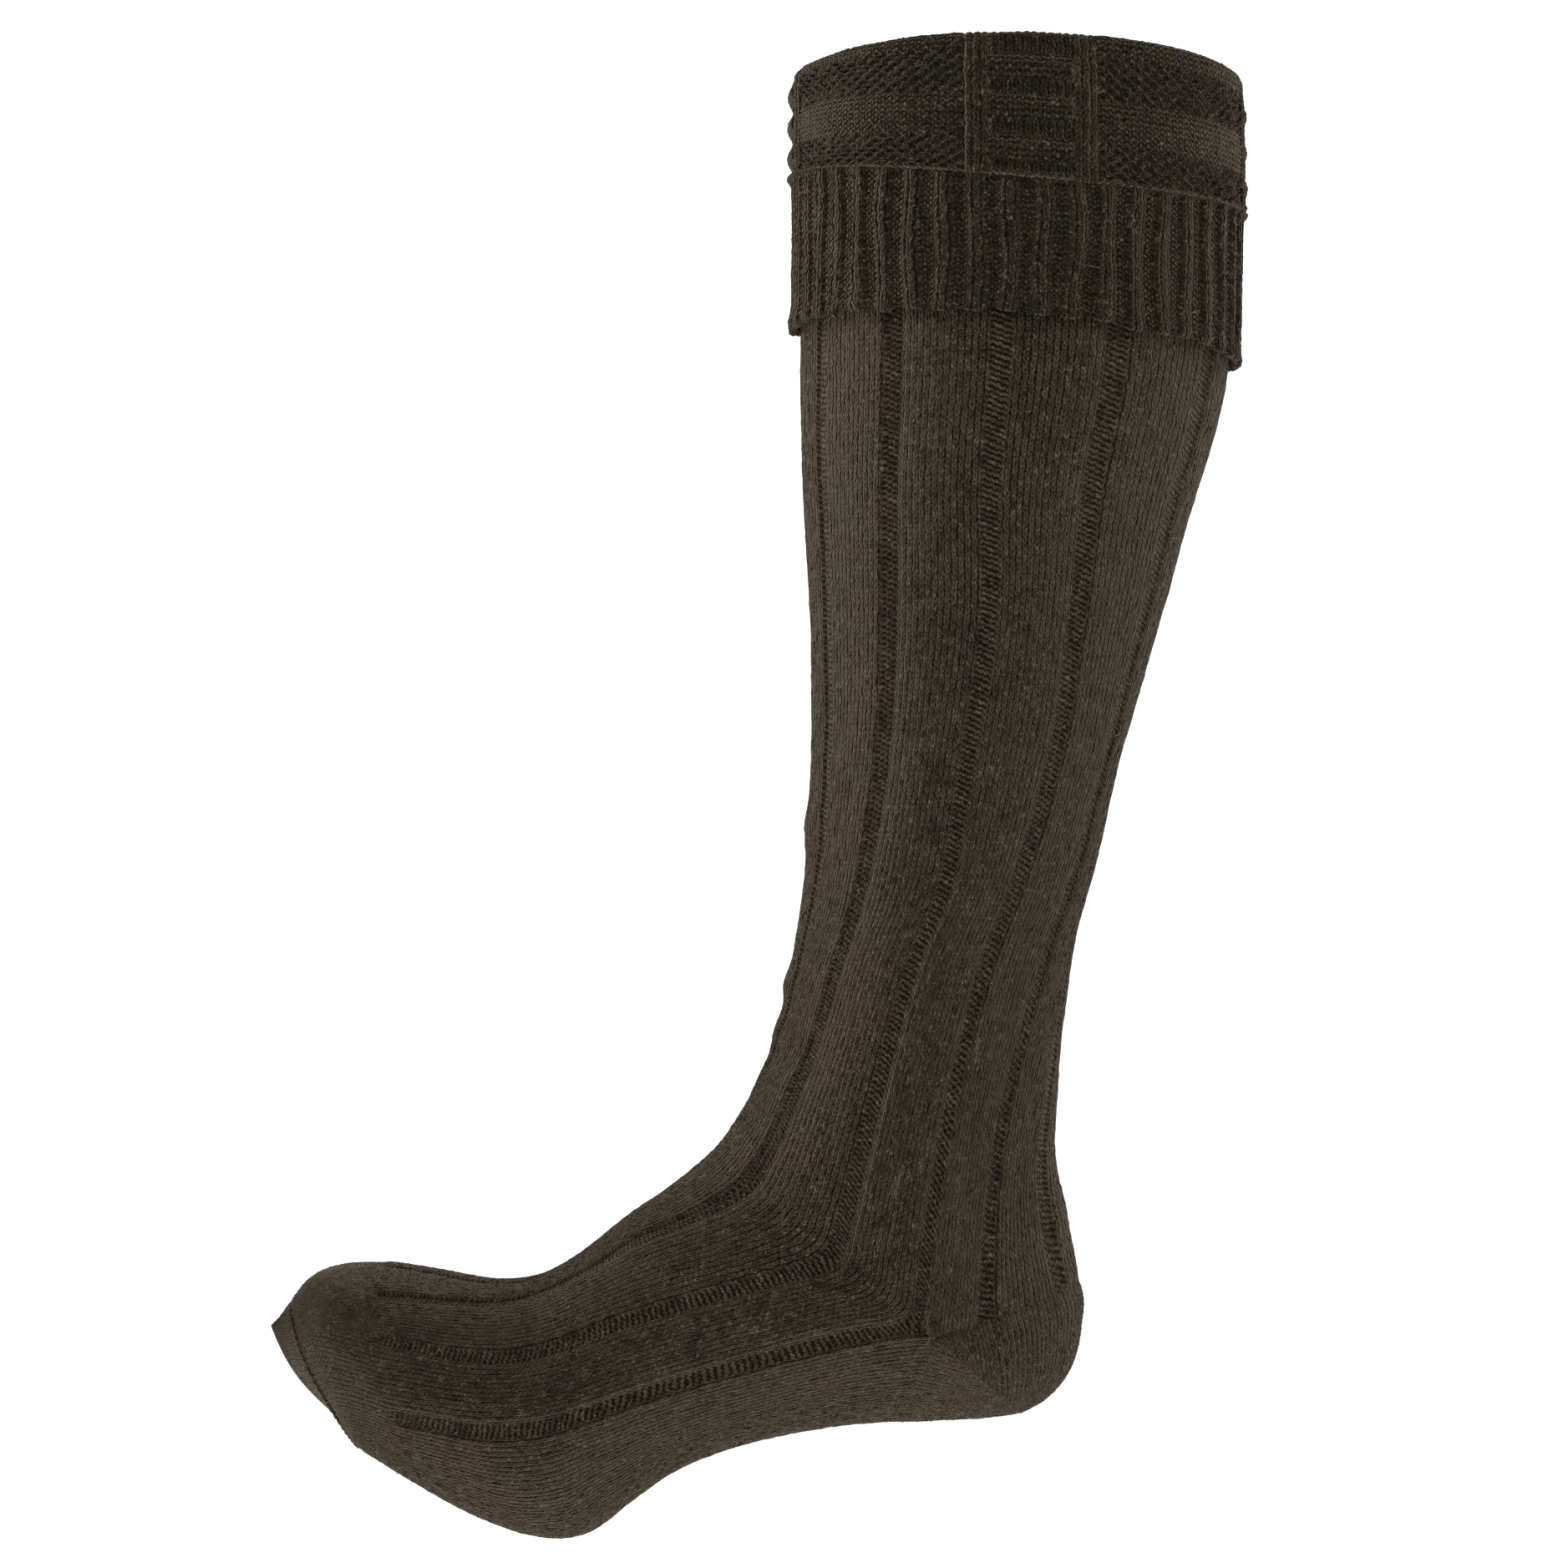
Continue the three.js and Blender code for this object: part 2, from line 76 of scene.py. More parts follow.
# The knitting: wales round the sock, in a panel with its channel, and from the front to the heel's corner.
# The mesh has SAMPLES columns a wale. Angles are in degrees round a section.
WALES = 176
PANEL_WALES = 16
CORNER_WALE = 51
SAMPLES = 3
FRONT, BACK = -90.0, 90.0
DEGREES_A_WALE = 360.0 / WALES
CORNER_ANGLE = FRONT + CORNER_WALE * DEGREES_A_WALE
CORNER_LEVEL = math.sin(math.radians(CORNER_ANGLE))

# down, front, back, width, turn: shares of the shin, and of the way from the ankle's size to the calf's
LEG_ROWS = (
    (0.0, 1.02, 1.0, 0.97, 1.0),
    (0.143, 1.02, 1.01, 0.99, 1.0),
    (0.312, 0.97, 0.976, 1.0, 1.0),
    (0.443, 1.09, 0.785, 0.85, 1.0),
    (0.576, 1.31, 0.582, 0.65, 1.0),
    (0.707, 1.38, 0.379, 0.44, 1.0),
    (0.841, 1.13, 0.195, 0.21, 0.9),
    (0.93, 0.6, 0.082, 0.08, 0.7),
)

# top along, top up, sole along, sole up, half width, corner, turn: shares of the foot's length, the ankle's
# height and the ankle's width
ANKLE_ROWS = (
    (0.376, 0.98, 0.032, 0.873, 0.5, 0.08, 0.45),
    (0.401, 0.852, 0.035, 0.682, 0.487, 0.35, 0.25),
    (0.427, 0.758, 0.022, 0.532, 0.475, 0.68, 0.1),
    (0.458, 0.679, 0.006, 0.362, 0.468, 1.0, 0.0),
)
CORNER_ROW = (0.189, 0.255)
HEEL_ROWS = ((0.0, 0.288), (0.0167, 0.128), (0.073, 0.028), (0.181, 0.004))

# top along, top up, sole along, sole up, half width, corner: the same shares, with the foot's width
FOOT_ROWS = (
    (0.458, 0.679, 0.242, 0.001, 0.397, 1.0),
    (0.509, 0.588, 0.319, -0.013, 0.408, 0.6),
    (0.566, 0.505, 0.406, -0.049, 0.42, 0.3),
    (0.622, 0.419, 0.489, -0.113, 0.437, 0.1),
    (0.673, 0.366, 0.55, -0.199, 0.458, 0.0),
    (0.724, 0.355, 0.606, -0.282, 0.48, 0.0),
    (0.776, 0.371, 0.673, -0.288, 0.5, 0.0),
    (0.827, 0.39, 0.755, -0.224, 0.489, 0.0),
    (0.873, 0.4, 0.817, -0.154, 0.457, 0.0),
)
TOE_ROWS = (
    (0.919, 0.394, 0.847, -0.118, 0.395, 0.0),
    (0.953, 0.362, 0.873, -0.088, 0.31, 0.0),
    (0.977, 0.298, 0.887, -0.072, 0.19, 0.0),
    (0.998, 0.241, 0.891, -0.066, 0.03, 0.0),
)
TOE_START = len(FOOT_ROWS) - 1.0
TOE_END = TOE_START + len(TOE_ROWS)

# How far each channel stands from an even spread round the sock, in degrees: one row a section, and one
# column for each channel from the first beside the top of the foot to the last beside the back of the heel
CHANNEL_WALES = (0, 16, 32, 48, 64, 80, 88)
LEG_SHIFTS = (
    (-3, -5, -8, -4, -3),
    (-3, -5.5, -8.5, -5, -3),
    (-3, -6.3, -8.5, -5, -3),
    (-2.5, -5, -8.3, -5, -3),
    (-1.5, -0.8, -5, -5, -4),
    (-1.3, -1.6, -1.5, -3, -5),
    (-2.5, 0, -4, -5, -8),
    (-3, -2, -5.5, -8, -12),
    (-3, -1, -5, -13, -16.5),
    (-1, 1.5, -3, -12.5, -17.5),
    (2, 4, -1, -12, -15.5),
    (4, 6, 0, -11, -10),
)
FOOT_SHIFTS = (
    (4, 6, 0, 0, 0),
    (1, 6, 1.5, 1, 0),
    (-5, 3, 2.5, 2, 1),
    (-11, -3, 0, 0, 0),
    (-11.5, -6.5, -5, -3, -1),
    (-9.5, -8.5, -9, -5, -2),
    (-6, -8, -7.5, -4, -2),
    (-1.5, -6.5, -3, -2, -1),
    (2, -5, 3, 2, 1),
)

# Small folds and dents, each a soft round swelling: x, y, z, radius, height
FOLDS = tuple(
    tuple(value * MM for value in row)
    for row in (
        (-71, -2, -247, 7, 1.6),
        (-69, -20, -256, 12, -0.8),
        (-75, -3, -299, 5, 1.5),
        (-78, -3, -315, 6, 1.2),
        (-72, -24, -318, 6, -1.0),
        (-84, -8, -329, 7, 1.0),
        (-79, -20, -331, 6, 0.9),
        (-125, -10, -377, 9, 1.0),
        (-140, -16, -388, 8, -0.9),
        (-232, -18, -404, 8, -1.2),
        (-222, -22, -452, 9, 1.0),
        (-28, -38, -408, 9, 0.8),
    )
)

# Slow waves of the cloth: wavelength in metres, and share of the height
WAVES = ((0.085, 1.0), (0.06, 0.8), (0.041, 0.6), (0.026, 0.4), (0.015, 0.25))
SINES_A_WAVE = 3

# Samples along the leg, the heel's outline and the wales where a table is read in between
LEVEL_SAMPLES, OUTLINE_SAMPLES, WALE_SAMPLES = 2000, 200, 400

# How far above the heel's corner, as a share of the sine, the instep's smooth bend is full
BEND_ABOVE_CORNER = 0.14

# Least lengths that are divided by, and how far below the corner a heel's point may count as lying
TINY, LEAST_REACH, LOWEST_RISE = 1e-12, 1e-6, -0.2

# The heel's knit columns stand lower than the leg's. Its border and its mitre, as shares of its round.
HEEL_RIDGE, HEEL_BORDER, MITRE_WIDTH = 0.6, 0.04, 0.012

# The seam's tube: rings a stitch, and corners of a ring
SEAM_RINGS, SEAM_SIDES = 6, 10

# Places in the knitting, in wales: the banks of a channel from its middle, and half a swelling panel
CHANNEL_BANKS = (1.15, 1.95)
PANEL_HALF = 6.5

# Places in the sections: how near their shared ring leg and foot turn to the same directions, how far before
# the toe the channels fade, where the foot's ground sinks, how far the toe's faces stop short of its end, and
# how far its bulge reaches back
JOIN_REACH = 0.35
CHANNEL_FADE = (0.45, 0.08)
TUCK_SECTIONS = (1.5, 4.0)
TIP_INSET, INNER_TIP_INSET = 0.02, 0.8
TOE_BULGE_REACH = 2.2

# Painted shade that the wool's material reads: on inner faces, a painted shadow under the cuff, painted shade
# on its hidden faces, between its ribs and in the band's hollows; and a darker line on the heel's mitre
INNER_PAINTED_SHADE, UNDER_CUFF_PAINTED_SHADOW, HIDDEN_PAINTED_SHADE = 0.5, 3.5, 2.0
RIB_PAINTED_SHADE, HOLLOW_PAINTED_SHADE, MITRE_SHADE = 1.6, 3.0, 0.3

# Seeds of the random draws
WAVE_SEED, MOSS_SEED, EDGE_SEED = 7, 23, 19


def sine(degrees):
    """Sine of an angle in degrees."""
    return np.sin(np.radians(degrees))


def cosine(degrees):
    """Cosine of an angle in degrees."""
    return np.cos(np.radians(degrees))


def foot_place(along, up):
    """Side-view place of shares along the foot from the back of the heel and up from its underside."""
    return np.array([HEEL_SETBACK - along * FOOT_LENGTH, up * ANKLE_HEIGHT - LEG_HEIGHT])


CORNER = foot_place(*CORNER_ROW)


def foot_section(row, width, turn=0.0, fullness=FOOT_FULLNESS):
    """One section: top, sole, pull of the side to the heel's corner, half width, fullness and turn."""
    top, sole = foot_place(*row[0:2]), foot_place(*row[2:4])
    straight = top + (sole - top) * (1 + CORNER_LEVEL) / 2
    pull = (CORNER - straight) * row[5]
    return [*top, *sole, *pull, row[4] * width, fullness, turn * CHANNEL_TURN]


def leg_section(row, ankle):
    """A level section whose front, back and half width lie between the ankle's and the calf's."""
    down, front, back, width, turn = row
    z = -down * (LEG_HEIGHT - ANKLE_HEIGHT)
    front_x = ankle[0] + (-CALF_DEPTH / 2 - ankle[0]) * front
    back_x = ankle[2] + (CALF_DEPTH / 2 - ankle[2]) * back
    half = ankle[6] + (CALF_WIDTH / 2 - ankle[6]) * width
    return [front_x, z, back_x, z, 0.0, 0.0, half, 1.0, turn * CHANNEL_TURN]


def ankle_section(row):
    """An ankle section, squarer the nearer it comes to the heel's corner."""
    return foot_section(row, ANKLE_WIDTH, row[6], 1 + (FOOT_FULLNESS - 1) * row[5])


ANKLE_SECTIONS = [ankle_section(row) for row in ANKLE_ROWS]
LEG_SECTIONS = np.array([leg_section(row, ANKLE_SECTIONS[0]) for row in LEG_ROWS] + ANKLE_SECTIONS)
FOOT_SECTIONS = np.array([foot_section(row, FOOT_WIDTH) for row in FOOT_ROWS + TOE_ROWS])
FOOT_SECTIONS[0, 6] = LEG_SECTIONS[-1, 6]
HEEL_OUTLINE = np.array(
    [LEG_SECTIONS[-1, 2:4], *(foot_place(*row) for row in HEEL_ROWS), FOOT_SECTIONS[0, 2:4]]
)

# The point inside the ankle from which the edges that leg, heel and foot share are raised
HEEL_MIDDLE = np.array([-45 * MM, 0.0, -375 * MM])


def spline(rows, place):
    """Catmull-Rom curve through rows: a cubic between neighbours, with half the step across them as slope."""
    last = len(rows) - 1
    index = np.clip(np.floor(place).astype(int), 0, last - 1)
    t = (place - index)[:, None]
    a, b, c, d = (rows[np.clip(index + step, 0, last)] for step in (-1, 0, 1, 2))
    bend = 3 * t**2 - 2 * t**3
    return (
        b * (1 - bend)
        + c * bend
        + (c - a) / 2 * (t**3 - 2 * t**2 + t)
        + (d - b) / 2 * (t**3 - t**2)
    )


def step_between(value, low, high):
    """Smooth step from 0 at low to 1 at high."""
    t = np.clip((value - low) / (high - low), 0, 1)
    return t * t * (3 - 2 * t)


def section_points(values, angle):
    """Points round sections: in the side view a point lies (1 + sin angle) / 2 of the way from front to back,
    pulled to the heel's corner by a tent that peaks there. It stands half width * |cos angle| ** fullness to
    the side."""
    values = values[:, None, :]
    level = sine(angle)
    share = (1 + level) / 2
    reach = np.where(
        level < CORNER_LEVEL, (1 + level) / (1 + CORNER_LEVEL), (1 - level) / (1 - CORNER_LEVEL)
    )
    x = values[..., 0] + (values[..., 2] - values[..., 0]) * share + values[..., 4] * reach
    z = values[..., 1] + (values[..., 3] - values[..., 1]) * share + values[..., 5] * reach
    out = cosine(angle)
    y = -values[..., 6] * np.sign(out) * np.abs(out) ** values[..., 7]
    return np.stack(np.broadcast_arrays(x, y, z), axis=-1)


def sock_surface(sections, place, angle):
    """Points of the smooth sock at a place down its sections and an angle round them.

    Leg and foot each run along a spline that stops at their shared ring. Above the heel's corner they turn
    into splines that run through the ring from one to the other, so that the instep bends smoothly.
    """
    stopped = section_points(spline(sections, place), angle)
    if sections is LEG_SECTIONS:
        through = np.concatenate([LEG_SECTIONS, FOOT_SECTIONS[1:2]])
        running = section_points(spline(through, place), angle)
    else:
        through = np.concatenate([LEG_SECTIONS[-2:-1], FOOT_SECTIONS])
        running = section_points(spline(through, place + 1), angle)
    bend = step_between(CORNER_LEVEL - sine(angle), 0.0, BEND_ABOVE_CORNER)
    bend = np.broadcast_to(bend, stopped.shape[:2])[..., None]
    return stopped * (1 - bend) + running * bend


def outward(points, closed):
    """Unit normals of a grid: the step down the rows crossed with the step round the columns."""
    padded = np.concatenate([points[:, -1:], points, points[:, :1]], axis=1) if closed else points
    down = np.gradient(padded, axis=0)
    around = np.gradient(padded, axis=1)
    normal = np.cross(down, around)
    normal /= np.maximum(np.linalg.norm(normal, axis=-1, keepdims=True), TINY)
    return normal[:, 1:-1] if closed else normal


def unevenness(points, sizes):
    """Height in metres of the cloth's slow waves and small folds: seeded sines, and round swellings."""
    random = np.random.default_rng(WAVE_SEED)
    height = np.zeros(points.shape[:-1])
    for wavelength, share in WAVES:
        for _ in range(SINES_A_WAVE):
            direction = random.normal(size=3)
            direction /= np.linalg.norm(direction)
            phase = random.uniform(0, 2 * math.pi)
            height += share * np.sin(points @ direction * 2 * math.pi / wavelength + phase)
    height *= sizes.waviness / SINES_A_WAVE
    for x, y, z, radius, rise in FOLDS:
        apart = np.sum((points - np.array([x, y, z])) ** 2, axis=-1)
        height += rise * np.exp(-apart / radius**2)
    return height


def channel_mask(wale):
    """1 on the three purl wales of a channel, 0 on the knit panel between two channels."""
    apart = np.abs((wale + PANEL_WALES / 2) % PANEL_WALES - PANEL_WALES / 2)
    return 1 - step_between(apart, *CHANNEL_BANKS)


def panel_crown(wale):
    """How far a knit panel swells between two channels: 1 in its middle, 0 at its edges, as 1 - t ** 4."""
    t = np.clip(np.abs(wale % PANEL_WALES - PANEL_WALES / 2) / PANEL_HALF, 0, 1)
    return 1 - t**4


def wale_ridge(wale):
    """Height of a knit column across one wale: |sin| ** 0.7, with its foot at the wale's edges."""
    return np.abs(np.sin(math.pi * wale)) ** 0.7


def course_count(points, course):
    """Courses knitted down to each row, by the mean length of the columns."""
    steps = np.linalg.norm(np.diff(points, axis=0), axis=-1).mean(axis=1)
    return np.concatenate([[0.0], np.cumsum(steps)]) / course


def quads(rows, columns, wrap_rows, wrap_columns):
    """Corner numbers of a grid's cells, and the row and column of each corner before it wraps."""
    r = np.arange(rows if wrap_rows else rows - 1)
    c = np.arange(columns if wrap_columns else columns - 1)
    r, c = (grid.ravel() for grid in np.meshgrid(r, c, indexing="ij"))
    row = np.stack([r, r + 1, r + 1, r], axis=1)
    column = np.stack([c, c, c + 1, c + 1], axis=1)
    return (row % rows) * columns + column % columns, row, column


def body(name, points, corners, uv, masks, sharp=55.0):
    """A mesh object from points, four-cornered faces and a UV for each corner, turned to face outwards."""
    a, b, c, d = (points[corners[:, k]] for k in range(4))
    volume = np.einsum("ij,ij->i", a, np.cross(b, c)).sum() + np.einsum("ij,ij->i", a, np.cross(c, d)).sum()
    if volume < 0:
        corners, uv = corners[:, ::-1], uv[:, ::-1]
    mesh = bpy.data.meshes.new(name)
    mesh.vertices.add(len(points))
    mesh.vertices.foreach_set("co", points.astype(np.float32).ravel())
    same = corners == np.roll(corners, -1, axis=1)
    triangle = same.any(axis=1)
    keep = ~same
    counts = np.where(triangle, 3, 4)
    mesh.loops.add(int(counts.sum()))
    mesh.loops.foreach_set("vertex_index", corners[keep].astype(np.int32))
    mesh.polygons.add(len(corners))
    mesh.polygons.foreach_set("loop_start", np.concatenate([[0], np.cumsum(counts)[:-1]]).astype(np.int32))
    mesh.polygons.foreach_set("loop_total", counts.astype(np.int32))
    mesh.update(calc_edges=True)
    layer = mesh.uv_layers.new(name="stitches")
    layer.data.foreach_set("uv", uv[keep].astype(np.float32).ravel())
    for mask, values in masks.items():
        attribute = mesh.attributes.new(mask, "FLOAT", "POINT")
        attribute.data.foreach_set("value", values.astype(np.float32).ravel())
    mesh.polygons.foreach_set("use_smooth", np.ones(len(corners), bool))
    mesh.set_sharp_from_angle(angle=math.radians(sharp))
    mesh.validate()
    item = bpy.data.objects.new(name, mesh)
    bpy.context.scene.collection.objects.link(item)
    return item


def ring_body(name, points, wale, course, masks):
    """A closed ring of knitting. Its columns run round the sock, one a value of wale, and its rows run round
    the wall's section, one a value of course."""
    corners, row, column = quads(len(points), wale.size, True, True)
    u = np.append(wale, wale[0] + WALES)
    v = np.append(course, course[0])
    uv = np.stack([u[column], v[row]], axis=-1)
    return body(name, points.reshape(-1, 3), corners, uv, masks)


def knitted_tube(name, smooth, normal, outer, purl, depth, sizes):
    """A tube open at both ends: its outer rows down, then fewer rows back up, one wall under the smooth
    surface."""
    inner_rows = np.linspace(0, len(smooth) - 1, sizes.inner_rows).astype(int)
    inner = (smooth - normal * WALL)[inner_rows]
    course = course_count(smooth, sizes.course)
    inside = np.ones(inner.shape[:2])
    masks = {
        "purl": np.concatenate([purl, inside]),
        # Painted shade on the inner faces
        "depth": np.concatenate([depth, inside * INNER_PAINTED_SHADE]),
    }
    points = np.concatenate([outer, inner[::-1]])
    return ring_body(name, points, wale_columns(), np.append(course, course[inner_rows][::-1]), masks)


def end_cap(first, columns, flip):
    """Four-cornered faces straight across a ring of points, whose first point's number is given."""
    half = np.arange(columns // 2)
    ring = [half, half + 1, (columns - half - 1) % columns, (columns - half) % columns]
    return first + np.stack(ring[::-1] if flip else ring, axis=1)


def wale_columns():
    """Wales at the mesh's columns, once round the sock."""
    return np.arange(WALES * SAMPLES) / SAMPLES


def tufts(shape, sizes, seed):
    """Random heights, one a point, for the wool's loose nap."""
    return np.random.default_rng(seed).normal(0, sizes.nap, shape)


def relief(points, wale, purl, sunk, ribbed, sizes):
    """Height of the knitting: unevenness, nap, knit columns, and panel crowns where it is ribbed, less the
    depth of its channels where they are sunk."""
    height = unevenness(points, sizes) + tufts(points.shape[:-1], sizes, points.shape[0])
    height += sizes.wale_rise * wale_ridge(wale) * (1 - purl)
    height += sizes.panel_rise * panel_crown(wale) * ribbed
    return height - sizes.channel_depth * sunk


def leg_place(z):
    """The place in the leg's sections whose section lies at level z, above the ankle."""
    place = np.linspace(0, len(LEG_ROWS) - 1, LEVEL_SAMPLES)
    level = spline(LEG_SECTIONS, place)[:, 1]
    return np.interp(-z, -level, place)


def wale_angle(sections, shifts, place, wale):
    """Angle of each wale at each place: an even spread, turned, and shifted in straight steps from channel to
    channel. The far side mirrors the near one."""
    turn = spline(sections, place)[:, 8:9]
    rows = np.array([(0, *row, 0) for row in shifts], float)
    shift = spline(rows, place)
    from_top = np.where(wale > WALES / 2, WALES - wale, wale)
    index = np.clip(np.searchsorted(CHANNEL_WALES, from_top, side="right") - 1, 0, len(CHANNEL_WALES) - 2)
    low, high = np.array(CHANNEL_WALES)[index], np.array(CHANNEL_WALES)[index + 1]
    t = (from_top - low) / (high - low)
    moved = shift[:, index] * (1 - t) + shift[:, index + 1] * t
    return FRONT + wale * DEGREES_A_WALE + turn + np.where(wale > WALES / 2, -moved, moved)


def lifted(points, normal, border, height):
    """Points raised by height along their normals, which turn to point from the heel's middle where border is
    1, so that pieces that share an edge are raised alike there."""
    apart = points - HEEL_MIDDLE
    apart /= np.linalg.norm(apart, axis=-1, keepdims=True)
    direction = normal * (1 - border[..., None]) + apart * border[..., None]
    direction /= np.linalg.norm(direction, axis=-1, keepdims=True)
    return points + direction * height[..., None]


def make_leg(sizes):
    """The ribbed leg: eleven knit panels, each 13 wales, between channels of 3 purl wales."""
    last = len(LEG_SECTIONS) - 1.0
    place = np.linspace(float(leg_place(-LIP_DEPTH)), last, sizes.leg_rows)
    wale = wale_columns()
    smooth = sock_surface(LEG_SECTIONS, place, wale_angle(LEG_SECTIONS, LEG_SHIFTS, place, wale))
    normal = outward(smooth, True)
    channel = np.broadcast_to(channel_mask(wale), smooth.shape[:2])
    border = step_between(place, last - JOIN_REACH, last)[:, None] * np.ones_like(wale)
    behind = step_between(np.minimum(wale, WALES - wale), CORNER_WALE - 1, CORNER_WALE)
    ribbed = 1 - border * behind
    height = relief(smooth, wale, channel, channel * ribbed, ribbed, sizes)
    outer = lifted(smooth, normal, border, height)
    cuff_angle = FRONT + wale * DEGREES_A_WALE
    cuff_end = cuff_edge(cuff_angle, BAND_DEPTH + RIB_DEPTH, BAND_TILT + RIB_TILT, BAND_SAG + RIB_SAG)
    # Painted shadow under the cuff: the leg's colour is darkened from just above the cuff's edge to a few
    # millimetres below it
    under = 1 - step_between(-smooth[..., 2] - cuff_end, -1 * MM, sizes.painted_cuff_shadow)
    # Painted shade: the depth mask darkens the colour in the sunk channels, and adds the painted shadow under
    # the cuff
    depth = channel + under * UNDER_CUFF_PAINTED_SHADOW
    return knitted_tube("leg_knit", smooth, normal, outer, channel, depth, sizes)


def make_foot(sizes):
    """Instep and sole in one: seven channels run on over the instep, and the sole is plain."""
    place = np.linspace(0, TOE_START, sizes.foot_rows)
    wale = wale_columns()
    smooth = sock_surface(FOOT_SECTIONS, place, wale_angle(FOOT_SECTIONS, FOOT_SHIFTS, place, wale))
    normal = outward(smooth, True)
    from_top = np.minimum(wale, WALES - wale)
    on_instep = 1 - step_between(from_top, CORNER_WALE - 0.8, CORNER_WALE + 0.2)
    fade_start, fade_end = (TOE_START - inset for inset in CHANNEL_FADE)
    ribbed = on_instep * (1 - step_between(place, fade_start, fade_end)[:, None])
    channel = channel_mask(wale) * ribbed
    border = step_between(-place, -JOIN_REACH, 0)[:, None] * np.ones_like(wale)
    tuck = sizes.foot_tuck * step_between(place, *TUCK_SECTIONS)[:, None]
    outer = lifted(smooth, normal, border, relief(smooth, wale, channel, channel, ribbed, sizes) - tuck)
    # The channel mask is also the depth mask: painted shade in the sunk channels
    return knitted_tube("foot_knit", smooth, normal, outer, channel, channel, sizes)


def heel_place(share):
    """Side-view place at a share of the way down the round of the heel."""
    return spline(HEEL_OUTLINE, share * (len(HEEL_OUTLINE) - 1))


def heel_stitches(points, share, level, sizes):
    """Stitch coordinates of the heel: courses lie beside the seam with the leg above the mitre and beside the
    seam with the sole below it, and wales run square to them until they meet at the mitre."""
    side = points[..., [0, 2]] - CORNER
    outline = heel_place(np.linspace(0, 1, OUTLINE_SAMPLES)) - CORNER
    even = np.linspace(0, WALES / 2, WALE_SAMPLES)
    seams = (
        (HEEL_OUTLINE[0], 1.0, LEG_SECTIONS, LEG_SHIFTS, len(LEG_SECTIONS) - 1.0),
        (HEEL_OUTLINE[-1], -1.0, FOOT_SECTIONS, FOOT_SHIFTS, 0.0),
    )
    result = []
    for end, sign, sections, shifts, place in seams:
        axis = (end - CORNER) / np.linalg.norm(end - CORNER)
        across = np.array([axis[1], -axis[0]]) * sign
        distance = side @ across
        edge_distance = outline @ across
        near = np.argsort(edge_distance)
        farthest = np.maximum.accumulate((outline @ axis)[near][::-1])[::-1]
        reach = np.interp(distance, edge_distance[near], farthest)
        rise = np.clip((side @ axis) / np.maximum(reach, LEAST_REACH), LOWEST_RISE, 1)
        angle = np.degrees(np.arcsin(np.clip(CORNER_LEVEL + rise * (1 - CORNER_LEVEL), -1, 1)))
        seam_angle = wale_angle(sections, shifts, np.array([place]), even)[0]
        result.append((np.interp(angle, seam_angle, even), distance / sizes.course * sign))
    upper = share < sizes.mitre
    wale = np.where(upper, result[0][0], result[1][0])
    course = np.where(upper, result[0][1], result[1][1])
    return np.where(level < 0, WALES - wale, wale), course


def make_heel(sizes):
    """The plain heel cup: straight lines from the heel's corner to the round of the heel, on both sides."""
    share = np.linspace(0, 1, sizes.heel_rows)
    half_turn = BACK - CORNER_ANGLE
    angle = BACK + half_turn * np.linspace(-1, 1, sizes.heel_columns) * (1 - sizes.heel_trim)
    reach = (sine(angle) - CORNER_LEVEL) / (1 - CORNER_LEVEL)
    side = CORNER + (heel_place(share)[:, None] - CORNER) * reach[None, :, None]
    out = cosine(angle)
    y = -FOOT_SECTIONS[0, 6] * np.sign(out) * np.abs(out) ** FOOT_FULLNESS
    smooth = np.stack([side[..., 0], np.broadcast_to(y, side.shape[:2]), side[..., 1]], axis=-1)
    normal = outward(smooth, False)
    wale, course = heel_stitches(smooth, share[:, None], out[None], sizes)
    height = unevenness(smooth, sizes) + tufts(smooth.shape[:2], sizes, seed=1)
    height = height + HEEL_RIDGE * sizes.wale_rise * wale_ridge(wale)
    mitre = np.exp(-(((share - sizes.mitre) / MITRE_WIDTH) ** 2))[:, None]
    height = height + sizes.mitre_rise * mitre
    border = step_between(np.abs(share - 0.5), 0.5 - HEEL_BORDER, 0.5)[:, None] * np.ones_like(angle)
    outer = lifted(smooth, normal, border, height)
    inner = smooth - normal * WALL
    rows, columns = share.size, angle.size
    points = np.concatenate([outer, inner[::-1]])
    corners, row, column = quads(2 * rows, columns, True, False)
    u = np.concatenate([wale, wale[::-1], wale[:1]])
    v = np.concatenate([course, course[::-1], course[:1]])
    uv = np.stack([u, v], axis=-1)
    top = np.arange(rows - 1)
    ring = [top, 2 * rows - 1 - top, 2 * rows - 2 - top, top + 1]
    near_edge = np.stack(ring, axis=1) * columns
    far_edge = np.stack(ring[::-1], axis=1) * columns + columns - 1
    edge = np.concatenate([near_edge, far_edge])
    flat_uv = uv[:-1].reshape(-1, 2)
    # Painted shade darkens the inner faces; a darker line runs along the mitre
    inside = np.repeat([0.0, 1.0], rows)[:, None] * np.ones(columns)
    ridge_shade = np.concatenate([mitre, 0 * mitre]) * MITRE_SHADE
    return body(
        "heel_knit",
        points.reshape(-1, 3),
        np.concatenate([corners, edge]),
        np.concatenate([uv[row, column], flat_uv[edge]]),
        {"purl": inside, "depth": INNER_PAINTED_SHADE * inside + ridge_shade},
    )


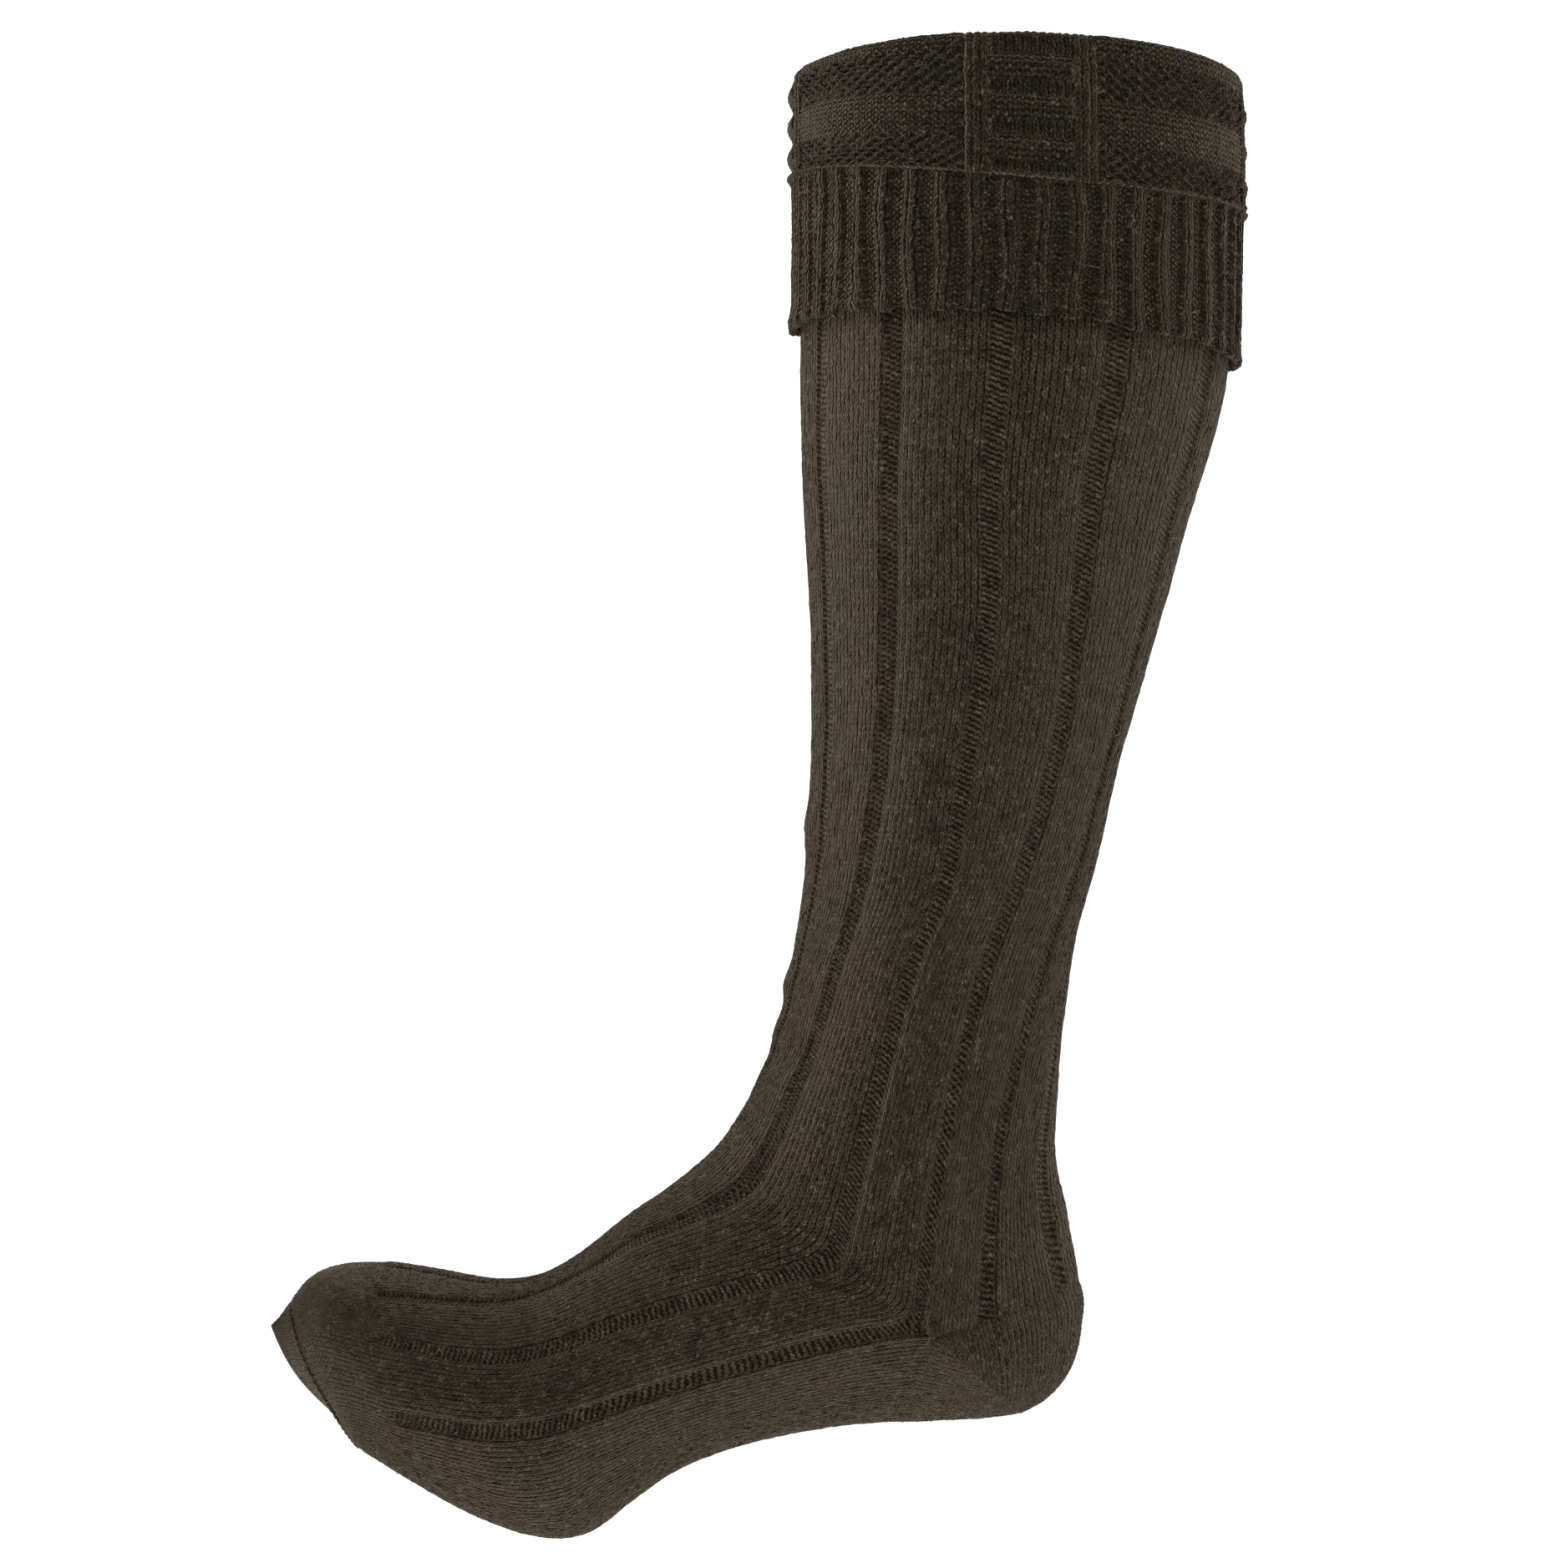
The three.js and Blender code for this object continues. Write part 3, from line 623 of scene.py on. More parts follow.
def toe_surface(place, angle, sizes):
    """The toe's smooth surface. Its flat end bulges by sin(2 * pi * 0.7 * share), half as much where that is
    negative, share running from its tip to its sole."""
    points = sock_surface(FOOT_SECTIONS, place, angle)
    tip, sole = FOOT_SECTIONS[-1, 0:2], FOOT_SECTIONS[-1, 2:4]
    line = (sole - tip) / np.linalg.norm(sole - tip)
    wave = np.sin(2 * math.pi * 0.7 * (1 + sine(angle)) / 2)
    near_end = step_between(place, TOE_END - TOE_BULGE_REACH, TOE_END)[:, None]
    bulge = sizes.toe_bulge * np.where(wave > 0, wave, wave / 2) * near_end
    return points + bulge[..., None] * np.array([line[1], 0.0, -line[0]])


def make_toe(sizes):
    """The plain toe cap, pinched flat at its end. Wales keep their width and end at the toe's edges."""
    place = np.linspace(TOE_START, TOE_END - TIP_INSET, sizes.toe_rows)
    start_wale = np.append(wale_columns(), WALES)
    columns = start_wale.size - 1
    angle = wale_angle(FOOT_SECTIONS, FOOT_SHIFTS, place[:1], start_wale[:-1])[0]
    smooth = toe_surface(place, angle[None], sizes)
    normal = outward(smooth, True)
    closed = np.concatenate([smooth, smooth[:, :1]], axis=1)
    girth = np.linalg.norm(np.diff(closed, axis=1), axis=-1).sum(axis=1)
    narrowing = (girth / girth[0])[:, None]
    near = WALES / 4 + (start_wale - WALES / 4) * narrowing
    far = 3 * WALES / 4 + (start_wale - 3 * WALES / 4) * narrowing
    on_far = np.arange(columns) >= columns // 2
    course = course_count(smooth, sizes.course)
    height = unevenness(smooth, sizes) + tufts(smooth.shape[:2], sizes, seed=2)
    height = height + sizes.wale_rise * wale_ridge(np.where(on_far, far[:, :-1], near[:, :-1]))
    height = (height - sizes.foot_tuck) * np.clip((TOE_END - place) * 2, 0.15, 1)[:, None]
    outer = smooth + normal * height[..., None]
    inner_place = np.linspace(TOE_START, TOE_END - INNER_TIP_INSET, sizes.inner_rows)
    inner_smooth = sock_surface(FOOT_SECTIONS, inner_place, angle[None])
    inner = inner_smooth - outward(inner_smooth, True) * WALL
    points = np.concatenate([outer[::-1], inner])
    corners, row, column = quads(len(points), columns, False, True)
    near, far = (
        np.concatenate([wales[::-1], np.repeat(wales[:1], len(inner), axis=0)]) for wales in (near, far)
    )
    v = np.concatenate([course[::-1], np.interp(inner_place, place, course)])
    face_far = (column.min(axis=1) >= columns // 2)[:, None]
    uv = np.stack([np.where(face_far, far[row, column], near[row, column]), v[row]], axis=-1)
    caps = np.concatenate([end_cap(0, columns, False), end_cap((len(points) - 1) * columns, columns, True)])
    flat_uv = np.stack([near[:, :-1], np.broadcast_to(v[:, None], near[:, :-1].shape)], axis=-1)
    inside = np.repeat([0.0, 1.0], [len(outer), len(inner)])[:, None] * np.ones(columns)
    return body(
        "toe_knit",
        points.reshape(-1, 3),
        np.concatenate([corners, caps]),
        np.concatenate([uv, flat_uv.reshape(-1, 2)[caps]]),
        # Painted shade on the inner faces
        {"purl": inside, "depth": INNER_PAINTED_SHADE * inside},
    )


def make_toe_seam(sizes):
    """The linked seam: a tube beside the toe's end whose radius swells once a stitch, as 0.72 + 0.34 * |sin|,
    and tapers at both ends."""
    count = sizes.seam_stitches * SEAM_RINGS + 1
    half_span = math.degrees(sizes.seam_span) / 2
    angle = np.linspace(-half_span, half_span, count)
    place = TOE_END - sizes.seam_inset + np.array([-0.02, 0.0, 0.02])
    smooth = toe_surface(place, angle[None], sizes)
    normal = outward(smooth, False)[1]
    line = smooth[1] + normal * (sizes.seam_radius / 4 - sizes.foot_tuck)
    along = np.gradient(line, axis=0)
    along /= np.linalg.norm(along, axis=-1, keepdims=True)
    side = np.cross(along, normal)
    stitch = np.linspace(0, sizes.seam_stitches, count)
    radius = sizes.seam_radius * (0.72 + 0.34 * np.abs(np.sin(math.pi * stitch)))
    radius = radius * np.clip(np.minimum(stitch, sizes.seam_stitches - stitch) / 1.2, 0.02, 1) ** 0.5
    turn = 2 * math.pi * np.arange(SEAM_SIDES) / SEAM_SIDES
    ring = np.cos(turn)[None, :, None] * normal[:, None] + np.sin(turn)[None, :, None] * side[:, None]
    points = line[:, None] + ring * radius[:, None, None]
    corners, row, column = quads(count, SEAM_SIDES, False, True)
    uv = np.stack([2 * column / SEAM_SIDES, stitch[row]], axis=-1)
    caps = [end_cap(0, SEAM_SIDES, False), end_cap((count - 1) * SEAM_SIDES, SEAM_SIDES, True)]
    corners = np.concatenate([corners, *caps])
    uv = np.concatenate([uv, np.zeros((SEAM_SIDES, 4, 2))])
    flat = np.zeros(points.shape[:2])
    return body("toe_seam_link", points.reshape(-1, 3), corners, uv, {"purl": flat, "depth": flat})


def cuff_edge(angle, depth, tilt, sag):
    """Depth of an edge of the cuff below the fold: depth + tilt * sin + sag * sin ** 2."""
    return depth + tilt * sine(angle) + sag * sine(angle) ** 2


def beside_leg(angle, z, out):
    """A point level with z, out from the leg's face along the level normal of its oval."""
    place = leg_place(np.minimum(z, 0)).ravel()
    flat_angle = np.broadcast_to(angle, z.shape).ravel()
    values = spline(LEG_SECTIONS, place)
    share = (1 + sine(flat_angle)) / 2
    x = values[:, 0] + (values[:, 2] - values[:, 0]) * share
    y = -values[:, 6] * cosine(flat_angle)
    half_depth = (values[:, 2] - values[:, 0]) / 2
    normal = np.stack([values[:, 6] * sine(flat_angle), -half_depth * cosine(flat_angle)], axis=-1)
    normal /= np.linalg.norm(normal, axis=-1, keepdims=True)
    plan = np.stack([x, y], axis=-1) + normal * np.broadcast_to(out, z.shape).ravel()[:, None]
    return np.concatenate([plan, z.reshape(-1, 1)], axis=1).reshape(*z.shape, 3)


# The band's chart. A motif of 16 wales and a side panel of 28 repeat four times round the cuff.
# Each row: courses from the edge up, and what is knitted there.
REPEAT_WALES = 44
LADDER_ROWS = (
    (0.4, "purl"),
    (2.8, "knit"),
    (4.3, "purl"),
    (3, "knit"),
    (4.3, "purl"),
    (3, "knit"),
    (4.3, "purl"),
    (4, "knit"),
)
SIDE_ROWS = ((0.4, "purl"), (6.6, "moss"), (8, "purl"), (8, "moss"), (6, "purl"))
PILLAR_WALES = 3
LADDER_WALES = 10

# Shares of the bars' height: how high pillars and side bars stand, and how far rungs sink. Between two
# courses, towards the fold, the pillars fade.
PILLAR_RISE, SIDE_BAR_RISE, RUNG_SINK = 0.7, 0.45, 0.45
PILLAR_FADE = (20, 26)

# Moss stitches differ in size, and a knit one dips where a purl one stands out
MOSS_SIZES = (0.3, 1.7)
MOSS_DIP = 0.6

# The ribbed edge: wales a rib, how far it reaches up under the band, and how its ribs stray: waves round the
# leg, with the turns, the slip from top to edge, the start and the share of each
RIB_WALES = 4
RIB_LAP = 0.4 * MM
RIB_WAVES = ((5, 4, 0, 1.0), (11, -5, 1, 0.8), (23, 7, 0, 0.6))

# Radius of a loose fibre along it
FIBRE_TAPER = (1.0, 0.85, 0.4)

# Where a knit wale is fullest, from 0 at its middle to 1 at its edge
FULL_AT = 0.45


def chart_column(rows, course):
    """For each course: which kind of row it is in, and how far through that row's band it lies, 0 to 1."""
    kind = np.full(course.shape, "knit", dtype="<U4")
    through = np.zeros(course.shape)
    start = 0.0
    for count, name in rows:
        inside = (course >= start) & (course < start + count)
        kind[inside] = name
        through[inside] = (course[inside] - start) / count
        start += count
    return kind, through


def band_chart(wale, course, sizes):
    """Purl mask, height and painted shade of the band's hollows: purl bars swell, knit rungs sink, pillars
    stand out and moss is beaded."""
    motif = LADDER_WALES + 2 * PILLAR_WALES
    place = (wale + motif / 2) % REPEAT_WALES
    in_motif = place < motif
    in_ladder = (place >= PILLAR_WALES) & (place < motif - PILLAR_WALES)
    pillar = in_motif & ~in_ladder
    ladder_kind, ladder_through = chart_column(LADDER_ROWS, course)
    side_kind, side_through = chart_column(SIDE_ROWS, course)
    kind = np.where(in_ladder, ladder_kind, side_kind)
    through = np.where(in_ladder, ladder_through, side_through)
    moss = (kind == "moss") & ~pillar
    checker = (np.floor(wale) + np.floor(course)) % 2 == 0
    purl = np.where(moss, checker, (kind == "purl") & ~pillar)
    swell = np.sin(math.pi * through)
    bar = sizes.bar_rise * swell
    across = np.where(place < PILLAR_WALES, place, place - (motif - PILLAR_WALES)) / PILLAR_WALES
    pillar_height = sizes.bar_rise * PILLAR_RISE * np.sin(math.pi * np.clip(across, 0, 1)) ** 0.5
    pillar_height = pillar_height * (1 - 0.8 * step_between(course, *PILLAR_FADE))
    rung = in_ladder & (kind == "knit")
    height = np.select(
        [pillar & (course >= 1), rung, in_ladder & (kind == "purl"), ~in_motif & (kind == "purl")],
        [pillar_height, -RUNG_SINK * bar, bar, SIDE_BAR_RISE * bar],
        0.0,
    )
    random = np.random.default_rng(MOSS_SEED)
    stitch_size = random.uniform(*MOSS_SIZES, (sizes.band_courses + 1, WALES))
    stitch_size = stitch_size[np.floor(course).astype(int), np.floor(wale).astype(int) % WALES]
    bead = stitch_size * np.sin(math.pi * (wale % 1)) * np.sin(math.pi * (course % 1))
    height = height + np.where(moss, np.where(checker, 1.0, -MOSS_DIP) * sizes.bobble_rise * bead, 0.0)
    beads = 0.55 + 0.45 * np.abs(np.sin(math.pi * wale))
    height = height + sizes.ridge_rise * np.exp(-(((course - 0.5) / 0.7) ** 2)) * beads
    bump = np.where(purl, np.sin(math.pi * (course % 1)) * 0.6, wale_ridge(wale))
    height = height + np.where(moss, 0.0, bump * sizes.cuff_stitch_rise)
    # Painted shade in the hollows: sunk moss stitches darker than raised ones and small ones darker still,
    # and the sunk knit rungs
    painted_shade = np.where(moss, 1.0 - 0.45 * stitch_size - 0.25 * checker, 0.0)
    painted_shade = np.where(rung, np.clip(1.8 * swell, 0, 1) * 1.1, painted_shade)
    return purl.astype(float), height, painted_shade


def make_cuff_band(sizes):
    """The patterned band: a profile from the ridge up the outside, over the fold and down the lip inside it,
    then back down the hidden face, carried round the leg."""
    wale = wale_columns()
    angle = FRONT + wale * DEGREES_A_WALE
    edge = cuff_edge(angle, BAND_DEPTH, BAND_TILT, BAND_SAG)
    outer_out = CUFF_EASE + CUFF_WALL
    middle, reach = (outer_out - WALL) / 2, (outer_out + WALL) / 2
    arc = math.pi * (reach + FOLD_HEIGHT) / 2
    wall_length = edge - FOLD_HEIGHT
    lip_length = LIP_DEPTH - FOLD_HEIGHT
    share = np.linspace(0, 1, sizes.band_courses * SAMPLES + 1)[:, None]
    length = share * (wall_length + arc + lip_length)
    turn = np.clip((length - wall_length) / arc, 0, 1) * math.pi
    on_wall, on_lip = length < wall_length, length > wall_length + arc
    out = np.select([on_wall, on_lip], [outer_out, -WALL], middle + reach * np.cos(turn))
    z = np.select(
        [on_wall, on_lip],
        [length - edge, -FOLD_HEIGHT - (length - wall_length - arc)],
        FOLD_HEIGHT * (np.sin(turn) - 1),
    )
    crest = sizes.fold_crest * cosine(angle) ** 2 - sizes.fold_tilt * sine(angle)
    z = z + crest * step_between(z, -edge, 0)
    smooth = beside_leg(angle, z, out)
    normal = outward(smooth, True)
    centre = beside_leg(angle, np.full(z.shape, -2 * FOLD_HEIGHT), middle)
    normal *= np.sign(np.einsum("ijk,ijk->ij", normal, smooth - centre).mean())
    course = share * sizes.band_courses * np.ones_like(wale)
    purl, height, painted_shade = band_chart(np.broadcast_to(wale, z.shape), course, sizes)
    lip = step_between(length, wall_length + arc * 0.8, wall_length + arc)
    height = height + unevenness(smooth, sizes) + tufts(z.shape, sizes, seed=4) - sizes.cuff_tuck
    outer = smooth + normal * (height * (1 - lip))[..., None]
    hidden_z = np.stack([np.full_like(edge, -LIP_DEPTH), -(LIP_DEPTH + edge) / 2, -edge])
    hidden = beside_leg(angle, hidden_z, CUFF_EASE)
    flat = np.zeros(hidden.shape[:2])
    # Painted shade in the band's hollows and on its hidden faces behind it
    masks = {
        "purl": np.concatenate([purl, flat]),
        "depth": np.concatenate([painted_shade * HOLLOW_PAINTED_SHADE, flat + HIDDEN_PAINTED_SHADE]),
    }
    points = np.concatenate([outer, hidden])
    courses = np.append(course[:, 0], [sizes.band_courses + 2, 20, 0])
    return ring_body("cuff_band_knit", points, wale, courses, masks)


def make_cuff_rib(sizes):
    """The ribbed edge: two knit wales stand out, two purl wales lie back, and the cast-on edge is uneven."""
    wale = wale_columns()
    angle = FRONT + wale * DEGREES_A_WALE
    top = cuff_edge(angle, BAND_DEPTH, BAND_TILT, BAND_SAG) - RIB_LAP
    drop = cuff_edge(angle, RIB_DEPTH, RIB_TILT, RIB_SAG)
    ribs = WALES // RIB_WALES
    offset = np.random.default_rng(EDGE_SEED).normal(0, sizes.edge_ragged, ribs)
    rib_place = (wale - 0.5) / RIB_WALES
    low = np.floor(rib_place).astype(int)
    blend = step_between(rib_place - low, 0.35, 0.65)
    ragged = offset[low % ribs] * (1 - blend) + offset[(low + 1) % ribs] * blend
    wale_in_rib = wale % RIB_WALES
    knit = step_between(wale_in_rib, 0.0, 0.67) * (1 - step_between(wale_in_rib, 2.0, 2.67))
    edge = top + drop + ragged + sizes.edge_scallop * (knit - 0.5)
    share = np.linspace(0, 1, sizes.rib_courses * 2 + 1)[:, None]
    phase = np.radians(angle)
    wander = sum(
        size * np.sin(turns * phase + slip * share + start) for turns, slip, start, size in RIB_WAVES
    )
    angle = angle + math.degrees(sizes.rib_wander) * wander * step_between(share, 0, 0.3)
    z = -(top + (edge - top) * share)
    flare = sizes.edge_flare * step_between(share, 0.8, 1.0)
    smooth = beside_leg(angle, z, CUFF_EASE + CUFF_WALL + flare)
    normal = outward(smooth, True)
    course = share * sizes.rib_courses * np.ones_like(wale)
    purl = np.broadcast_to(1 - knit, z.shape)
    height = unevenness(smooth, sizes) + tufts(z.shape, sizes, seed=5) - sizes.cuff_tuck
    height = height + (knit - 1) * sizes.rib_relief * step_between(share, -0.03, 0.05)
    height = height + sizes.cuff_stitch_rise * wale_ridge(np.broadcast_to(wale, z.shape)) * knit
    cord = np.exp(-(((course - sizes.rib_courses + 0.8) / 0.8) ** 2))
    height = height + sizes.cast_on_rise * cord * (0.6 + 0.4 * np.sin(2 * math.pi * wale))
    outer = smooth + normal * height[..., None]
    low_angle = angle[-1]
    back_z = [-edge - 0.7 * MM, -edge - 0.4 * MM, -edge + 1.0 * MM, -(top + edge) / 2, -top]
    back_out = np.array([0.72, 0.3, 0, 0, 0])[:, None] * CUFF_WALL + CUFF_EASE
    back = beside_leg(low_angle, np.stack(back_z), back_out)
    flat = np.zeros(back.shape[:2])
    # Painted shade on the purl wales between the ribs and on the hidden faces behind the edge
    masks = {
        "purl": np.concatenate([purl, flat]),
        "depth": np.concatenate([purl * RIB_PAINTED_SHADE, flat + HIDDEN_PAINTED_SHADE]),
    }
    last = sizes.rib_courses
    courses = np.append(course[:, 0], [last + 0.6, last + 1.2, last + 2, last / 2, 0])
    return ring_body("cuff_rib_knit", np.concatenate([outer, back]), wale, courses, masks)


def face_values(mesh, name, size):
    """A value or vector of each face of a mesh, as rows."""
    values = np.empty(len(mesh.polygons) * size, np.float32)
    mesh.polygons.foreach_get(name, values)
    return values.reshape(-1, size)


def make_fuzz(name, sources, sizes, count, pale, seed):
    """Loose fibres: thin three-sided tubes that leave a random point of the knitting, lean over and curl.

    A fibre's line is start + length * (t * lean + curl * t ** 2 * side), t from 0 to 1. None grows on the
    large faces that close a wall.
    """
    random = np.random.default_rng(seed)
    starts, normals = [], []
    weights = np.array([len(item.data.polygons) for item in sources], float)
    for item, share in zip(sources, weights / weights.sum()):
        area = face_values(item.data, "area", 1)[:, 0]
        area = np.where(area < np.percentile(area, 99.5) * 2, area, 0)
        picked = random.choice(len(area), int(count * share), p=area / area.sum())
        starts.append(face_values(item.data, "center", 3)[picked])
        normals.append(face_values(item.data, "normal", 3)[picked])
    start, normal = np.concatenate(starts).astype(float), np.concatenate(normals).astype(float)
    number = len(start)
    side = np.cross(normal, random.normal(size=(number, 3)))
    side /= np.linalg.norm(side, axis=1, keepdims=True)
    other = np.cross(normal, side)
    lean = normal * random.uniform(0.35, 1.0, (number, 1)) + other * random.uniform(-1, 1, (number, 1))
    length = sizes.fibre_length * random.lognormal(0, 0.45, (number, 1))
    curl = random.uniform(-0.9, 0.9, (number, 1))
    t = np.linspace(0, 1, len(FIBRE_TAPER))[None, :, None]
    line = start[:, None] + length[:, None] * (t * lean[:, None] + curl[:, None] * t**2 * side[:, None])
    turn = 2 * math.pi * np.arange(3) / 3
    around = (
        side[:, None, None] * np.cos(turn)[None, None, :, None]
        + normal[:, None, None] * np.sin(turn)[None, None, :, None]
    )
    radius = sizes.fibre_radius * np.array(FIBRE_TAPER)
    points = (line[:, :, None] + around * radius[None, :, None, None]).reshape(-1, 3)
    corners, _, _ = quads(len(FIBRE_TAPER), 3, False, True)
    one = np.concatenate([corners, [[0, 1, 2, 2], [8, 7, 6, 6]]])
    vertices = 3 * len(FIBRE_TAPER)
    every = (one[None] + np.arange(number)[:, None, None] * vertices).reshape(-1, 4)
    tone = np.repeat(np.clip(random.beta(1.2, 5.0, number) + pale, 0, 1), vertices)
    return body(name, points, every, np.zeros((len(every), 4, 2)), {"tone": tone}, sharp=180.0)


def feed(tree, node, inputs):
    """Gives each named or numbered input of a node its value, or links another node's output to it."""
    for name, value in inputs.items():
        if isinstance(value, Signal):
            value = value.socket
        if isinstance(value, bpy.types.NodeSocket):
            tree.links.new(value, node.inputs[name])
        else:
            node.inputs[name].default_value = value


def add_node(tree, kind, inputs, **settings):
    """A new node of a tree, with its settings made and its inputs fed."""
    node = tree.nodes.new(kind)
    for name, value in settings.items():
        setattr(node, name, value)
    feed(tree, node, inputs)
    return node


class Signal:
    """A node's output that can stand in a formula: each operator adds a Math node to its tree."""

    def __init__(self, tree, socket):
        self.tree = tree
        self.socket = socket

    def math(self, operation, *values):
        """The output of a Math node, which reads the values in turn."""
        node = add_node(self.tree, "ShaderNodeMath", dict(enumerate(values)), operation=operation)
        return Signal(self.tree, node.outputs[0])

    def of(self, operation):
        """A function of this alone, such as SINE or FRACT."""
        return self.math(operation, self)

    def above(self, low):
        """The greater of this and low."""
        return self.math("MAXIMUM", self, low)

    def __add__(self, other):
        return self.math("ADD", self, other)

    def __sub__(self, other):
        return self.math("SUBTRACT", self, other)

    def __rsub__(self, other):
        return self.math("SUBTRACT", other, self)

    def __mul__(self, other):
        return self.math("MULTIPLY", self, other)

    def __truediv__(self, other):
        return self.math("DIVIDE", self, other)

    def __pow__(self, other):
        return self.math("POWER", self, other)

    def __abs__(self):
        return self.of("ABSOLUTE")


def new_group(name, inputs, outputs):
    """An empty shader node group with named sockets, and its input and output nodes."""
    tree = bpy.data.node_groups.new(name, "ShaderNodeTree")
    for label, kind, default in inputs:
        socket = tree.interface.new_socket(label, in_out="INPUT", socket_type=kind)
        if default is not None:
            socket.default_value = default
    for label, kind in outputs:
        tree.interface.new_socket(label, in_out="OUTPUT", socket_type=kind)
    return tree, tree.nodes.new("NodeGroupInput"), tree.nodes.new("NodeGroupOutput")


def stitch_group():
    """Height of knit and purl stitches from stitch coordinates, which a slow noise shifts a little.

    Knit: a wale is full at 0.45 of the way from its middle to its edge, dips a little to its middle and falls
    to a groove at its edge. Its humps, |sin| along courses that rise from the middle to the edge, draw a V.
    Purl: bars, one a course, that slant and wave as the inputs say. Chance is one random value a stitch.
    """
    tree, given, made = new_group(
        "stitch_relief",
        [
            ("Stitch", "NodeSocketVector", None),
            ("Purl", "NodeSocketFloat", 0.0),
            ("Uneven", "NodeSocketFloat", 0.8),
            ("Wave", "NodeSocketFloat", 0.1),
            ("Slant", "NodeSocketFloat", 0.0),
        ],
        [("Height", "NodeSocketFloat"), ("Gap", "NodeSocketFloat"), ("Chance", "NodeSocketFloat")],
    )
    stitch, purl, uneven, wave_size, slant = given.outputs[:5]
    drift = add_node(tree, "ShaderNodeTexNoise", {"Vector": stitch, "Scale": 0.7, "Detail": 2.0})
    halves = (0.5, 0.5, 0.5)
    centred = add_node(
        tree, "ShaderNodeVectorMath", {0: drift.outputs["Color"], 1: halves}, operation="SUBTRACT"
    )
    scaled = add_node(
        tree, "ShaderNodeVectorMath", {0: centred.outputs[0], "Scale": uneven}, operation="SCALE"
    )
    moved = add_node(tree, "ShaderNodeVectorMath", {0: stitch, 1: scaled.outputs[0]})
    split = add_node(tree, "ShaderNodeSeparateXYZ", {0: moved.outputs[0]})
    u, v = Signal(tree, split.outputs[0]), Signal(tree, split.outputs[1])
    side = abs(u.of("FRACT") - 0.5) * 2.0
    beyond = ((side - FULL_AT) / (1 - FULL_AT)).above(0.0)
    within = ((FULL_AT - side) / FULL_AT).above(0.0)
    lens = 1.0 - beyond**1.7 - within**2.0 * 0.4
    climb = (v + side).of("FRACT")
    full = (climb * math.pi).of("SINE") ** 0.7 * 0.55 + 0.45
    strand = (lens * full).above(0.0)
    wave = (u * (2 * math.pi)).of("COSINE")
    rise = (v + u * slant + wave * wave_size).of("FRACT")
    bead = 1.0 - (1.0 - abs(wave)) * (Signal(tree, wave_size) * 2.5)
    bump = (rise * math.pi).of("SINE") ** 0.8 * bead
    height = Signal(tree, add_node(tree, "ShaderNodeMix", {0: purl, 2: strand, 3: bump}).outputs[0])
    cell = add_node(tree, "ShaderNodeCombineXYZ", {0: u.of("FLOOR"), 1: (v + side).of("FLOOR")})
    chance = add_node(tree, "ShaderNodeTexWhiteNoise", {"Vector": cell.outputs[0]})
    # Gap, one less the height, is where the wool's colour gets painted shade between stitches
    feed(tree, made, {"Height": height, "Gap": 1.0 - height, "Chance": chance.outputs["Value"]})
    return tree


def blend_colours(tree, factor, first, second, mode="MIX"):
    """A Mix node of two colours: each is a colour or another node's output."""
    inputs = {0: factor, 6: first, 7: second}
    settings = {"data_type": "RGBA", "blend_type": mode, "clamp_factor": True}
    return add_node(tree, "ShaderNodeMix", inputs, **settings).outputs[2]


def noise(tree, vector, scale, detail, roughness=0.5):
    """A Noise Texture's value at a vector."""
    inputs = {"Vector": vector, "Scale": scale, "Detail": detail, "Roughness": roughness}
    return Signal(tree, add_node(tree, "ShaderNodeTexNoise", inputs).outputs[0])


def spread(value, low, high, top=1.0):
    """A Map Range node: low and below give 0, high and above give top."""
    inputs = {"Value": value, "From Min": low, "From Max": high, "To Max": top}
    return Signal(value.tree, add_node(value.tree, "ShaderNodeMapRange", inputs).outputs[0])


